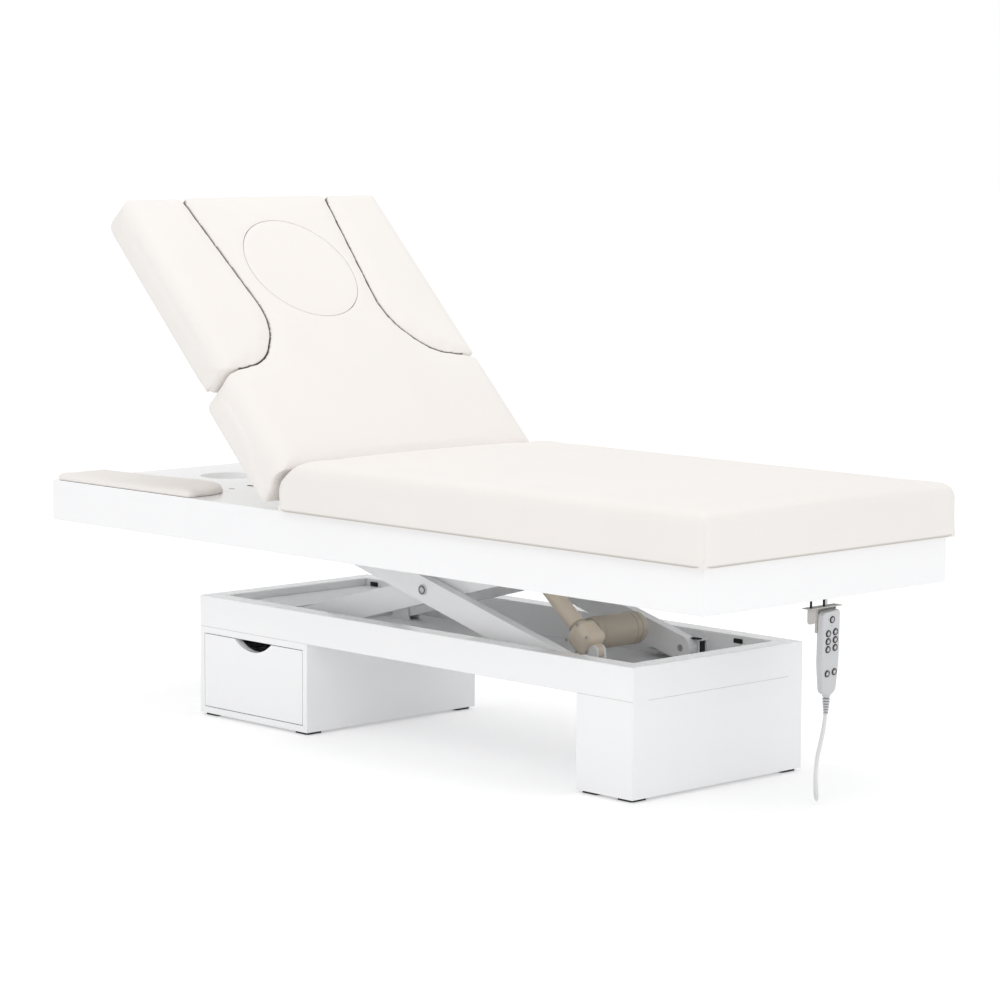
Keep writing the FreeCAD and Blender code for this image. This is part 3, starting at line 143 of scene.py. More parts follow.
# A finish's colour or the setting that holds it, roughness, grain, size, depth and strength of the grain,
# variation of tone, and other sockets
FINISHES = {
    LEATHER: ("vinyl", 0.5, "leather", 0.0011, 0.00012, 0.35, 0.025, {"Specular IOR Level": 0.4}),
    "gloss white lacquer": ("lacquer", 0.2, "peel", 0.004, 0.00003, 0.1, 0.012, COAT),
    "white powder coat": ("powder", 0.42, "peel", 0.0008, 0.00005, 0.25, 0.03, {}),
    "satin white facing": ((0.9, 0.903, 0.908), 0.45, "peel", 0.0012, 0.00005, 0.2, 0.04, {}),
    "zinc plate": ((0.55, 0.56, 0.57), 0.34, "brushed", 0.004, 0.00004, 0.2, 0.08, {"Metallic": 1.0}),
    "dark steel": ((0.06, 0.06, 0.062), 0.3, "brushed", 0.004, 0.00004, 0.2, 0.1, {"Metallic": 0.7}),
    "pale lining": ((0.74, 0.71, 0.67), 0.75, "leather", 0.0016, 0.0001, 0.35, 0.06, {}),
    "bright rod": ((0.78, 0.78, 0.78), 0.12, "brushed", 0.003, 0.00002, 0.1, 0.03, {"Metallic": 1.0}),
    # Painted shade: the beige moulding is the drive's beige kept darker than the tube, as shade on the parts
    # under the bed.
    "beige moulding": ("drive", 0.42, "peel", 0.0007, 0.00006, 0.3, 0.05, {}),
    "pale beige tube": ("drive", 0.38, "peel", 0.0009, 0.00005, 0.25, 0.04, {}),
    "black rubber": ("rubber", 0.72, "peel", 0.0006, 0.00008, 0.4, 0.25, {}),
    "dark nylon": ((0.035, 0.035, 0.037), 0.45, "peel", 0.001, 0.00005, 0.25, 0.12, {}),
    "black moulding": ((0.02, 0.02, 0.022), 0.5, "leather", 0.0007, 0.00008, 0.4, 0.12, {}),
    "light grey moulding": ("handset", 0.36, "peel", 0.0005, 0.00004, 0.3, 0.03, {}),
    "grey key": ((0.27, 0.275, 0.285), 0.4, "peel", 0.0006, 0.00004, 0.25, 0.1, {}),
    "pale print": ((0.7, 0.71, 0.72), 0.5, "peel", 0.0006, 0.00002, 0.2, 0.02, {}),
    "white jacket": ((0.78, 0.78, 0.775), 0.4, "peel", 0.0009, 0.00005, 0.25, 0.03, {}),
    "grey hook paint": ((0.5, 0.49, 0.465), 0.4, "peel", 0.0008, 0.00005, 0.25, 0.08, {"Metallic": 0.2}),
}
LIGHTER = {"pale beige tube": 1.62}
finishes = {}


def shade(colour, factor):
    """A colour made lighter or darker."""
    return tuple(min(1.0, c * factor) for c in colour[:3]) + (1.0,)


def add_node(tree, kind, operation=None, **values):
    """A shader node with its operation and named inputs set."""
    node = tree.nodes.new("ShaderNode" + kind)
    if operation:
        node.operation = operation
    for socket, value in values.items():
        node.inputs[socket.replace("_", " ")].default_value = value
    return node


def join(tree, source, output, target, socket):
    """Links an output of one shader node to an input of another."""
    tree.links.new(source.outputs[output], target.inputs[socket])


def finish(name):
    """A node material: two close tones, uneven gloss and a fine relief in the bed's own coordinates.

    On leathercloth the joint attribute of a mesh darkens it to a dark brown as painted shade: on the upper
    walls of a joint and along the seat's bottom rim.
    """
    if name in finishes:
        return finishes[name]
    colour, roughness, grain, grain_size, depth, strength, variation, sockets = FINISHES[name]
    if isinstance(colour, str):
        colour = shade(getattr(colours(), colour), LIGHTER.get(name, 1.0))
    material = bpy.data.materials.new(name)
    material.use_nodes = True
    tree = material.node_tree
    surface = tree.nodes["Principled BSDF"]
    placed = add_node(tree, "Mapping")
    join(tree, add_node(tree, "TexCoord"), "Object", placed, "Vector")

    def noise(scale, detail):
        """Noise on the bed's own coordinates."""
        texture = add_node(tree, "TexNoise", Scale=scale, Detail=detail)
        join(tree, placed, "Vector", texture, "Vector")
        return texture

    dark, light = shade(colour, 1.0 - variation), shade(colour, 1.0 + variation / 2)
    tone = add_node(tree, "MixRGB", Color1=dark, Color2=light)
    join(tree, noise(5.0, 3.0), "Fac", tone, "Fac")
    if name == LEATHER:
        joint = add_node(tree, "Attribute")
        joint.attribute_name = "joint"
        # Painted shade: the joint attribute mixes the tone towards dark brown where joints and the seat's
        # bottom rim fall into shade.
        wall = add_node(tree, "MixRGB", Color2=(0.17, 0.15, 0.12, 1.0))
        join(tree, tone, "Color", wall, "Color1")
        join(tree, joint, "Fac", wall, "Fac")
        join(tree, wall, "Color", surface, "Base Color")
    else:
        join(tree, tone, "Color", surface, "Base Color")
    gloss = add_node(tree, "MapRange", To_Min=roughness * 0.88, To_Max=min(1.0, roughness * 1.14))
    relief = add_node(tree, "Bump", Distance=depth, Strength=strength)
    if grain == "leather":
        cells = add_node(tree, "TexVoronoi", Scale=1.0 / grain_size)
        cells.feature = "SMOOTH_F1"
        cells.inputs["Smoothness"].default_value = 0.6
        join(tree, placed, "Vector", cells, "Vector")
        both = add_node(tree, "Math", "MULTIPLY_ADD")
        both.inputs[1].default_value = 0.6
        join(tree, cells, "Distance", both, 0)
        join(tree, noise(0.4 / grain_size, 4.0), "Fac", both, 2)
        fine = both
    elif grain == "brushed":
        placed.inputs["Scale"].default_value = (1.0, 14.0, 1.0)
        fine = noise(1.0 / grain_size, 3.0)
    else:
        fine = noise(1.0 / grain_size, 2.0)
    join(tree, fine, 0, gloss, "Value")
    join(tree, gloss, "Result", surface, "Roughness")
    join(tree, fine, 0, relief, "Height")
    join(tree, relief, "Normal", surface, "Normal")
    for socket, value in sockets.items():
        surface.inputs[socket].default_value = value
    finishes[name] = material
    return material


def paint_joint_shade(mesh, depth_in_joint):
    """Writes the joint attribute, painted shade on the upper walls of a joint, from a measure of how deep each
    point lies in it.
    """
    layer = mesh.attributes.new("joint", "FLOAT", "POINT")
    starts, full, ends = 0.005, 0.01, 0.028
    for vertex, shade_share in zip(mesh.vertices, layer.data):
        depth = depth_in_joint(vertex.co, vertex.normal)
        shade_share.value = min(1.0, max(0.0, (depth - starts) / (full - starts)), max(0.0, (ends - depth) / 0.01))


# Mesh helpers

LEVEL = 1e-5


def to_mesh(name, form):
    """A mesh of a bmesh, which is freed."""
    mesh = bpy.data.meshes.new(name)
    form.to_mesh(mesh)
    form.free()
    return mesh


def from_mesh(mesh):
    """A bmesh of a mesh."""
    form = bmesh.new()
    form.from_mesh(mesh)
    return form


def publish(name, form, body, kind, angle=35.0, smooth=True):
    """Turns a bmesh into a piece of the bed that rides on a CAD body."""
    return publish_mesh(name, to_mesh(name, form), body, kind, angle, smooth)


def publish_mesh(name, mesh, body, kind, angle=None, smooth=True):
    """Links a mesh with a finish as a piece of the bed; edges sharper than an angle stay sharp."""
    mesh.materials.clear()
    mesh.materials.append(finish(kind))
    for polygon in mesh.polygons:
        polygon.use_smooth = smooth
    if angle:
        form = from_mesh(mesh)
        for edge in form.edges:
            edge.smooth = not (len(edge.link_faces) == 2 and edge.calc_face_angle() > math.radians(angle))
        form.to_mesh(mesh)
        form.free()
    piece = bpy.data.objects.new(name, mesh)
    bpy.context.scene.collection.objects.link(piece)
    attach(piece, body)
    return piece


def modified(name, data, add_modifiers=None):
    """The mesh that some data makes with modifiers on it."""
    helper = bpy.data.objects.new(name, data)
    bpy.context.scene.collection.objects.link(helper)
    if add_modifiers:
        add_modifiers(helper)
    result = bpy.data.meshes.new_from_object(helper.evaluated_get(bpy.context.evaluated_depsgraph_get()))
    bpy.data.objects.remove(helper)
    return result


def cut_mesh(mesh, cutter, operation):
    """A mesh after a boolean with a bmesh."""
    tool = bpy.data.objects.new("cutter", to_mesh("cutter", cutter))
    bpy.context.scene.collection.objects.link(tool)

    def cut(helper):
        step = helper.modifiers.new("cut", "BOOLEAN")
        step.operation = operation
        step.object = tool
        step.solver = "EXACT"

    result = modified("cut", mesh, cut)
    bpy.data.objects.remove(tool)
    return result


def everything(form):
    """All points, edges and faces."""
    return form.verts[:] + form.edges[:] + form.faces[:]


def of_kind(geom, kind):
    """The elements of one kind."""
    return [g for g in geom if isinstance(g, kind)]


def mirror(form, verts, faces):
    """Mirrors a part of a bmesh across the bed's middle line."""
    bmesh.ops.scale(form, vec=(1, -1, 1), verts=verts)
    bmesh.ops.reverse_faces(form, faces=faces)


def bevel(form, geom, offset, segments=3, affect="EDGES"):
    """Rounds edges or upright corners."""
    bmesh.ops.bevel(
        form,
        geom=geom,
        offset=offset,
        offset_type="OFFSET",
        segments=segments,
        profile=0.5,
        affect=affect,
        material=-1,
        clamp_overlap=affect == "EDGES",
    )


def block(form, low_corner, high_corner, edge=0.0, segments=3):
    """Rectangular block with rounded edges, added to a bmesh."""
    low_corner, high_corner = Vector(low_corner), Vector(high_corner)
    size = high_corner - low_corner
    made = bmesh.ops.create_cube(form, size=1.0)["verts"]
    bmesh.ops.scale(form, vec=size, verts=made)
    bmesh.ops.translate(form, vec=(low_corner + high_corner) / 2, verts=made)
    if edge > 0:
        bevel(form, list({e for v in made for e in v.link_edges}), edge, segments)


def twin_blocks(form, low_corner, high_corner, edge, segments):
    """A block on the far side and its mirror image on the near side."""
    for sign in (-1, 1):
        low_y, high_y = sorted((sign * low_corner[1], sign * high_corner[1]))
        low_place, high_place = (low_corner[0], low_y, low_corner[2]), (high_corner[0], high_y, high_corner[2])
        block(form, low_place, high_place, edge, segments)


def turned(form, profile, start, axis, steps=48):
    """Turned solid: pairs of radius and distance along an axis, spun a full turn."""
    axis = Vector(axis).normalized()
    side = axis.orthogonal().normalized()
    start = Vector(start)
    verts = [form.verts.new(start + axis * distance + side * radius) for radius, distance in profile]
    edges = [form.edges.new((a, b)) for a, b in zip(verts, verts[1:])]
    geom = verts + edges
    bmesh.ops.spin(form, geom=geom, cent=start, axis=axis, angle=math.tau, steps=steps, use_merge=True)
    bmesh.ops.remove_doubles(form, verts=form.verts[:], dist=1e-6)
    bmesh.ops.recalc_face_normals(form, faces=form.faces[:])


def plan_block(corners, radii, z_low, z_high, segments=10):
    """Upright block over a plan whose corners are rounded one by one."""
    form = bmesh.new()
    verts = [form.verts.new((x, y, z_low)) for x, y in corners]
    form.faces.new(verts)
    count = len(corners)
    for i, vert in enumerate(verts):
        if radii[i] <= 0:
            continue
        here = Vector(corners[i])
        back = (Vector(corners[i - 1]) - here).normalized()
        ahead = (Vector(corners[(i + 1) % count]) - here).normalized()
        reach = radii[i] / math.tan(back.angle(ahead) / 2)
        bevel(form, [vert], reach, segments, "VERTICES")
    grown = bmesh.ops.extrude_face_region(form, geom=form.faces[:], use_keep_orig=True)
    top = of_kind(grown["geom"], bmesh.types.BMVert)
    bmesh.ops.translate(form, verts=top, vec=(0, 0, z_high - z_low))
    bmesh.ops.recalc_face_normals(form, faces=form.faces[:])
    return form


def rim(form, z):
    """Edges at a height."""
    return [e for e in form.edges if all(abs(v.co.z - z) < LEVEL for v in e.verts)]


def disc(form, x, z, radius, depth, segments):
    """Upright disc on the bed's middle line, added to a bmesh."""
    made = bmesh.ops.create_cone(
        form, cap_ends=True, segments=segments, radius1=radius, radius2=radius, depth=depth
    )["verts"]
    bmesh.ops.translate(form, verts=made, vec=(x, 0, z))


def top_edges(form, z_high):
    """Sharp edges round the top of a block."""
    return [
        e
        for e in form.edges
        if all(v.co.z > z_high - LEVEL for v in e.verts)
        and len(e.link_faces) == 2
        and e.calc_face_angle() > 0.9
    ]


def offset_line(points, gap):
    """A polyline moved sideways to the left of its run, with its corners mitred."""
    moved = []
    for i, point in enumerate(points):
        runs = []
        if i > 0:
            runs.append((point - points[i - 1]).normalized())
        if i < len(points) - 1:
            runs.append((points[i + 1] - point).normalized())
        sides = [Vector((-r.y, r.x)) for r in runs]
        mean = sum(sides, Vector((0, 0))).normalized()
        moved.append(point + mean * (gap / mean.dot(sides[0])))
    return moved


def at_y(a, b, y):
    """Where the line through two points reaches a y."""
    slope = (b - a).normalized()
    return a + slope * ((y - a.y) / slope.y)


# Upholstery

ABOVE_DECK, ABOVE_BOARD = 0.0004, 0.0006
BACKREST_UNDER, WING_UNDER = DECK_TOP + 0.001, DECK_TOP + 0.021
HALF_JOINT = 0.0008
WALL_STEEP, SHADE_MARK_RISE = 0.6, 0.0015
HIP_LENGTH = 0.292
CROWN, SIDE_DROP = 0.0045, 0.0035
HEAD_RADIUS, WING_HEAD_RADIUS, FOOT_RADIUS = 0.022, 0.026, 0.034


def remeshed(mesh, voxel, floor_z):
    """The mesh rebuilt as even quads of one size."""

    def rebuild(helper):
        voxels = helper.modifiers.new("voxels", "REMESH")
        voxels.mode = "VOXEL"
        voxels.voxel_size = voxel
        even = helper.modifiers.new("even", "SMOOTH")
        even.iterations = 2
        even.factor = 0.5

    result = modified("padding blank", mesh, rebuild)
    for vertex in result.vertices:
        if vertex.co.z < floor_z + voxel * 0.45:
            vertex.co.z = floor_z
    return result


COVER = {
    "quality": 4,
    "mass": 0.4,
    "tension_stiffness": 12.0,
    "compression_stiffness": 12.0,
    "shear_stiffness": 5.0,
    "bending_stiffness": 0.4,
    "use_pressure": True,
    "uniform_pressure_force": 4.0,
    "vertex_group_mass": "held",
}


def swollen(mesh, floor_z, cap):
    """The padding under pressure inside its cover, with its underside held by the board."""
    start = [v.co.copy() for v in mesh.vertices]
    helper = bpy.data.objects.new("padding", mesh)
    bpy.context.scene.collection.objects.link(helper)
    held = helper.vertex_groups.new(name="held")
    held.add([i for i, co in enumerate(start) if co.z < floor_z + 0.004], 1.0, "REPLACE")
    cloth = helper.modifiers.new("cover", "CLOTH")
    cover = cloth.settings
    for setting, value in COVER.items():
        setattr(cover, setting, value)
    cover.effector_weights.gravity = 0.0
    cloth.collision_settings.use_collision = False
    first, last = 1, 20
    cloth.point_cache.frame_start = first
    cloth.point_cache.frame_end = last
    scene = bpy.context.scene
    for number in range(first, last + 1):
        scene.frame_set(number)
    after = helper.evaluated_get(bpy.context.evaluated_depsgraph_get()).data
    ends = [v.co.copy() for v in after.vertices]
    scene.frame_set(first)
    bpy.data.objects.remove(helper)
    capped = []
    for was, now in zip(start, ends):
        move = now - was
        distance = move.length
        if distance > 1e-9:
            move *= cap * math.tanh(distance / cap) / distance
        capped.append(was + move)
    return capped


def rolled(inward, below, radius):
    """Depths in from one face and below another, moved onto the round of their edge."""
    a, b = radius - inward, radius - below
    reach = math.hypot(a, b)
    if a <= 0 or b <= 0 or reach <= radius:
        return inward, below
    return radius - a * radius / reach, radius - b * radius / reach


def roll_edge(place, axis, sign, face, z_high, radius):
    """Moves a point onto the round between an upright face and the top."""
    inward, below = rolled(sign * (face - place[axis]), z_high - place.z, radius)
    place[axis], place.z = face - sign * inward, z_high - below


def press_wall(place, walls, middle, z_high, share):
    """Presses a swollen point beside an upright wall back onto it, below the wall's top edge."""
    found = walls.find_nearest(Vector((place.x, place.y, middle)))
    if found[3] < 0.008:
        weight = min(1.0, max(0.0, share)) * min(1.0, max(0.0, (z_high - place.z - 0.002) / 0.005))
        place.x += (found[0].x - place.x) * weight
        place.y += (found[0].y - place.y) * weight


def crown(place, half, middle, z_high):
    """How full a point's height is, and how far it rises in the middle and falls at the sides for it."""
    across = place.y / half
    rise = max(0.0, (place.z - middle) / (z_high - middle))
    return rise, CROWN * rise * (1 - across * across) - SIDE_DROP * rise


def nose(z):
    """How far the seat's head end swells out beyond its round at a height."""
    share = (z - DECK_TOP - 0.02) / 0.085
    return 0.007 * math.sin(math.pi * share) ** 2 if 0 < share < 1 else 0.0


def upholstered(name, blank, voxel, floor_z, cap, shape):
    """Mesh of a padded form: remeshed blank, swollen, shaped and subdivided once."""
    mesh = remeshed(to_mesh(name, blank), voxel, floor_z)
    for vertex, place in zip(mesh.vertices, swollen(mesh.copy(), floor_z, cap)):
        vertex.co = shape(place)

    def refine(helper):
        finer = helper.modifiers.new("finer", "SUBSURF")
        finer.levels = finer.render_levels = 1

    return modified(name + " form", mesh, refine)


def stitched_seam(name, points, host, body):
    """Raised seam that follows a cushion's surface through a few points."""
    form = from_mesh(host.data)
    tree = BVHTree.FromBMesh(form)
    form.free()
    route = []
    for a, b in zip(points, points[1:]):
        a, b = Vector(a), Vector(b)
        count = max(2, int((b - a).length / 0.006))
        for i in range(count):
            route.append(a.lerp(b, i / count))
    route.append(Vector(points[-1]))
    curve = bpy.data.curves.new(name + " line", "CURVE")
    curve.dimensions = "3D"
    curve.bevel_depth = 0.0009
    curve.bevel_resolution = 2
    curve.use_fill_caps = True
    line = curve.splines.new("POLY")
    line.points.add(len(route) - 1)
    for point, place in zip(line.points, route):
        point.co = (*tree.find_nearest(place)[0], 1.0)
    return publish_mesh(name, modified(name + " line", curve), body, LEATHER)


class SPABED_OT_seat_cushion(bpy.types.Operator):
    """Long seat cushion with a rounded head end, drawn-in foot edge and corner seams"""

    bl_idname = "spabed.seat_cushion"
    bl_label = "Seat cushion"

    def execute(self, context):
        s = sizes()
        inset = s.swell
        tuck_depth, tuck_height, under_radius = 0.0028, 0.02, 0.022
        x_low, x_high = SEAT_LOW.x + inset * 0.7, SEAT_HIGH.x - inset * 0.8
        y_high = SEAT_HIGH.y - inset * 0.8
        z_low, z_high = DECK_TOP + ABOVE_DECK, SEAT_HIGH.z + s.seat_plump - inset * 0.9
        form = bmesh.new()
        block(form, (x_low, -y_high, z_low), (x_high, y_high, z_high))
        head = [e for e in rim(form, z_high) if max(v.co.x for v in e.verts) < x_low + LEVEL]
        bevel(form, head, s.seat_head_radius, 16)
        top = [
            e
            for e in form.edges
            if len(e.link_faces) == 2
            and e.calc_face_angle() > math.radians(50)
            and min(v.co.z for v in e.verts) > z_low - 1e-6
            and max(v.co.z for v in e.verts) > z_low + 1e-5
        ]
        bevel(form, top, s.edge_radius, 6)
        middle = (z_low + z_high) / 2

        def shape(place):
            tuck = tuck_depth * max(0.0, 1 - (place.z - z_low) / tuck_height) ** 2
            drawn = place.copy()
            drawn.z += crown(place, y_high, middle, z_high)[1]
            drawn.y -= math.copysign(tuck, place.y) * min(1.0, abs(place.y / y_high) ** 8)
            if place.x > x_high - 0.03:
                drawn.x -= tuck
            if place.x < x_low + 0.05:
                drawn.x -= nose(place.z) * min(1.0, (x_low + 0.05 - place.x) / 0.03)
            inward, below = rolled(drawn.x - x_low, drawn.z - z_low, under_radius)
            drawn.x, drawn.z = x_low + inward, max(z_low + below, z_low)
            return drawn

        mesh = upholstered("seat_upholstery", form, 0.0095, z_low, s.swell, shape)
        # Painted contact shadow: a dark band along the seat's bottom rim, darkest at the deck and gone 7 mm
        # up.
        paint_joint_shade(mesh, lambda p, normal: 0.005 + 0.0042 * max(0.0, 1 - (p.z - z_low) / 0.007))
        seat = publish_mesh("seat_upholstery", mesh, "top_frame", LEATHER)
        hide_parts("seat_cushion")
        reach = s.edge_radius * 0.3
        for side, sign in (("near", -1), ("far", 1)):
            x, y = SEAT_HIGH.x - reach, sign * (SEAT_HIGH.y - reach)
            ends = [(x, y, DECK_TOP + 0.003), (x, y, SEAT_HIGH.z - 0.02)]
            stitched_seam(f"seat_foot_seam_{side}", ends, seat, "top_frame")
        return {"FINISHED"}


def backrest_plan_points():
    """Near edge of the centre cushion's plan, from the hips to the head, flat."""
    s = sizes()
    half = SEAT_HIGH.y
    places = [(0.0, half), (HIP_LENGTH, half), (0.318, 0.258), (0.430, 0.174), (s.backrest_length, 0.223)]
    return [Vector((s.backrest_foot - along, -y)) for along, y in places]


class SPABED_OT_backrest_cushion(bpy.types.Operator):
    """Centre cushion of the backrest with its neck, and the round face plug"""

    bl_idname = "spabed.backrest_cushion"
    bl_label = "Backrest cushion and face plug"

    def execute(self, context):
        s = sizes()
        inset = s.swell
        z_low, z_high = BACKREST_UNDER + ABOVE_BOARD, SEAT_HIGH.z + s.plump - inset * 0.9
        near = offset_line(backrest_plan_points(), -HALF_JOINT)
        hip_y = -SEAT_HIGH.y - inset * 0.8
        near[1] = at_y(near[1], near[2], hip_y)
        near[0] = Vector((s.backrest_foot - inset * 0.6, hip_y))
        near[-1] = Vector((s.backrest_foot - s.backrest_length + inset * 0.8, near[-1].y))
        far = [Vector((p.x, -p.y)) for p in reversed(near)]
        radii = [0.012, 0.042, s.shoulder_radius, s.neck_radius, 0.022]
        form = plan_block([tuple(p) for p in near + far], radii + radii[::-1], z_low, z_high)
        head_x, foot_x = near[-1].x, near[0].x
        walls = BVHTree.FromBMesh(form)
        bevel(form, top_edges(form, z_high), s.seam_radius, 4)
        side_y = SEAT_HIGH.y - inset * 0.4
        middle = (z_low + z_high) / 2
        seat_top = SEAT_HIGH.z + s.seat_plump - s.plump
        seat_axis = Vector((SEAT_LOW.x + s.seat_head_radius, 0, seat_top - s.seat_head_radius))
        clear = s.seat_head_radius + 0.0012
        plug_x = s.backrest_foot - s.plug_place
        neck_x = foot_x - 0.26
        ring_depth, ring_width = 0.0016, 0.006

        def shape(place):
            drawn = place.copy()
            rise, lift = crown(place, SEAT_HIGH.y, middle, z_high)
            drawn.z += lift
            inside = min(side_y - 0.02 - abs(place.y), place.x - head_x - 0.006, neck_x - place.x)
            press_wall(drawn, walls, middle, z_high, inside / 0.03)
            from_ring = abs(math.hypot(place.x - plug_x, place.y) - s.plug_radius)
            drawn.z -= ring_depth * rise * math.exp(-((from_ring / ring_width) ** 2))
            side = math.copysign(1, drawn.y)
            roll_edge(drawn, 1, side, side * side_y, z_high, s.backrest_side_radius)
            roll_edge(drawn, 0, -1, head_x, z_high, HEAD_RADIUS)
            roll_edge(drawn, 0, 1, foot_x, z_high, FOOT_RADIUS)
            drawn.z = max(drawn.z, z_low)
            near_foot = min(1.0, max(0.0, (place.x - foot_x + 0.06) / 0.05))
            drawn.x += s.foot_flare * near_foot * min(1.0, max(0.0, 1 - (drawn.z - z_low) / 0.07))
            seen = TILTED @ drawn
            seat_crown = CROWN * (1 - (place.y / SEAT_HIGH.y) ** 2)
            off = Vector((seen.x - seat_axis.x, 0, seen.z - seat_axis.z - seat_crown))
            reach = clear + nose(seen.z)
            if off.length < reach and place.x > foot_x - 0.13:
                seen += off.normalized() * (reach - off.length)
                drawn = TILTED.inverted() @ seen
            return drawn

        mesh = upholstered("backrest_upholstery", form, 0.0078, z_low, s.swell, shape)
        board_top = BACKREST_UNDER + 0.015
        opening_radius, well_gap = 0.1185, 0.0015
        ring, well = bmesh.new(), bmesh.new()
        disc(ring, plug_x, board_top + 0.1003, s.plug_radius, 0.2, 128)
        plug_mesh = cut_mesh(mesh.copy(), ring, "INTERSECT")
        disc(well, plug_x, z_high, s.plug_radius + well_gap, 0.3, 128)
        mesh = cut_mesh(mesh, well, "DIFFERENCE")
        boss = from_mesh(plug_mesh)
        disc(boss, plug_x, (board_top + BACKREST_UNDER) / 2, opening_radius, board_top - BACKREST_UNDER, 96)
        boss.to_mesh(plug_mesh)
        boss.free()

        # Painted shade on the upper walls of the centre cushion's joints with the wings; with the wings off it
        # shows as a dark band.
        def depth_in_joint(p, normal):
            on_wall = head_x + 0.012 < p.x < neck_x and normal.z < WALL_STEEP and abs(p.y) < side_y - 0.05
            return z_high - p.z + SHADE_MARK_RISE if on_wall else 0.0

        paint_joint_shade(mesh, depth_in_joint)
        for item in (mesh, plug_mesh):
            item.transform(TILTED)
        body = publish_mesh("backrest_upholstery", mesh, "backrest", LEATHER, 50)
        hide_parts("backrest_cushion")
        plug = publish_mesh("face_plug_upholstery", plug_mesh, "face_plug", LEATHER, 50)
        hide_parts("face_plug")
        return {"FINISHED"}


def beside_neck(inner, head_x, foot_x, outer_y):
    """Corners of a plan between the near edge and the neck of the centre cushion."""
    return [(head_x, outer_y), (foot_x, outer_y), tuple(inner[2]), tuple(inner[3]), (head_x, inner[4].y)]


class SPABED_OT_wing_cushions(bpy.types.Operator):
    """Two removable wings beside the neck"""

    bl_idname = "spabed.wing_cushions"
    bl_label = "Wing cushions"

    def execute(self, context):
        s = sizes()
        inset = s.swell
        z_low, z_high = WING_UNDER + ABOVE_BOARD, SEAT_HIGH.z + s.plump - inset * 0.9
        inner = offset_line(backrest_plan_points(), HALF_JOINT)
        head_x = s.backrest_foot - s.backrest_length + inset * 0.8
        outer_y = -SEAT_HIGH.y + inset * 0.8
        foot_x = at_y(inner[1], inner[2], outer_y).x
        corners = beside_neck(inner, head_x, foot_x, outer_y)
        form = plan_block(corners, [0.036, 0.03, s.shoulder_radius, s.neck_radius, 0.026], z_low, z_high)
        walls = BVHTree.FromBMesh(form)
        bevel(form, top_edges(form, z_high), s.seam_radius * 1.3, 4)
        middle = (z_low + z_high) / 2

        def shape(place):
            drawn = place.copy()
            drawn.z += crown(place, SEAT_HIGH.y, middle, z_high)[1]
            inside = min(place.y - outer_y - 0.03, place.x - head_x - 0.006)
            press_wall(drawn, walls, middle, z_high, inside / 0.03)
            tuck = max(0.0, 1 - (place.z - z_low) / 0.02)
            drawn.y += 0.002 * tuck * tuck * (1 if place.y < outer_y + 0.02 else 0)
            roll_edge(drawn, 1, -1, outer_y - inset * 0.4, z_high, s.backrest_side_radius)
            roll_edge(drawn, 0, -1, head_x, z_high, WING_HEAD_RADIUS)
            drawn.z = max(drawn.z, z_low)
            return drawn

        mesh = upholstered("wing_upholstery", form, 0.0055, z_low, s.swell, shape)

        # Painted shade on the wings' upper walls along their joints with the centre cushion.
        def depth_in_joint(p, normal):
            on_wall = p.x > head_x + 0.012 and p.y > outer_y + 0.05 and normal.z < WALL_STEEP
            return z_high - p.z + SHADE_MARK_RISE if on_wall else 0.0

        paint_joint_shade(mesh, depth_in_joint)
        for side_name, sign in (("near", 1), ("far", -1)):
            copy = from_mesh(mesh)
            if sign < 0:
                mirror(copy, copy.verts[:], copy.faces[:])
            bmesh.ops.transform(copy, matrix=TILTED, verts=copy.verts[:])
            body = f"wing_{side_name}"
            wing = publish(f"wing_upholstery_{side_name}", copy, body, LEATHER, None)
            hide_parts(f"wing_cushion_{side_name}")
        return {"FINISHED"}


class SPABED_OT_arm_pads(bpy.types.Operator):
    """Two thin pads on the deck under the wings"""

    bl_idname = "spabed.arm_pads"
    bl_label = "Arm pads"

    def execute(self, context):
        s = sizes()
        inset = 0.0025
        pads_low, pads_high = low("arm_pads"), high("arm_pads")
        z_low, z_high = DECK_TOP + ABOVE_DECK, pads_high.z - inset * 0.8
        inner = offset_line(backrest_plan_points(), 0.005 + inset * 0.8)
        head_x = pads_low.x + inset * 0.8
        outer_y = pads_low.y + inset * 0.8
        foot_x = min(s.backrest_foot - HIP_LENGTH - inset, at_y(inner[1], inner[2], outer_y).x) - 0.01
        corners = beside_neck(inner, head_x, foot_x, outer_y)
        form = plan_block(corners, [0.014, 0.018, 0.1, 0.14, 0.012], z_low, z_high)
        bevel(form, rim(form, z_high), 0.0075, 4)

        def shape(place):
            drawn = place.copy()
            drawn.z = max(drawn.z, z_low)
            return drawn

        mesh = upholstered("arm_pad", form, 0.0045, z_low, inset, shape)
        form = from_mesh(mesh)
        twin = bmesh.ops.duplicate(form, geom=everything(form))["geom"]
        mirror(form, of_kind(twin, bmesh.types.BMVert), of_kind(twin, bmesh.types.BMFace))
        pads = publish("arm_pad_upholstery", form, "top_frame", LEATHER, None)
        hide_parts("arm_pads")
        return {"FINISHED"}


# Fittings


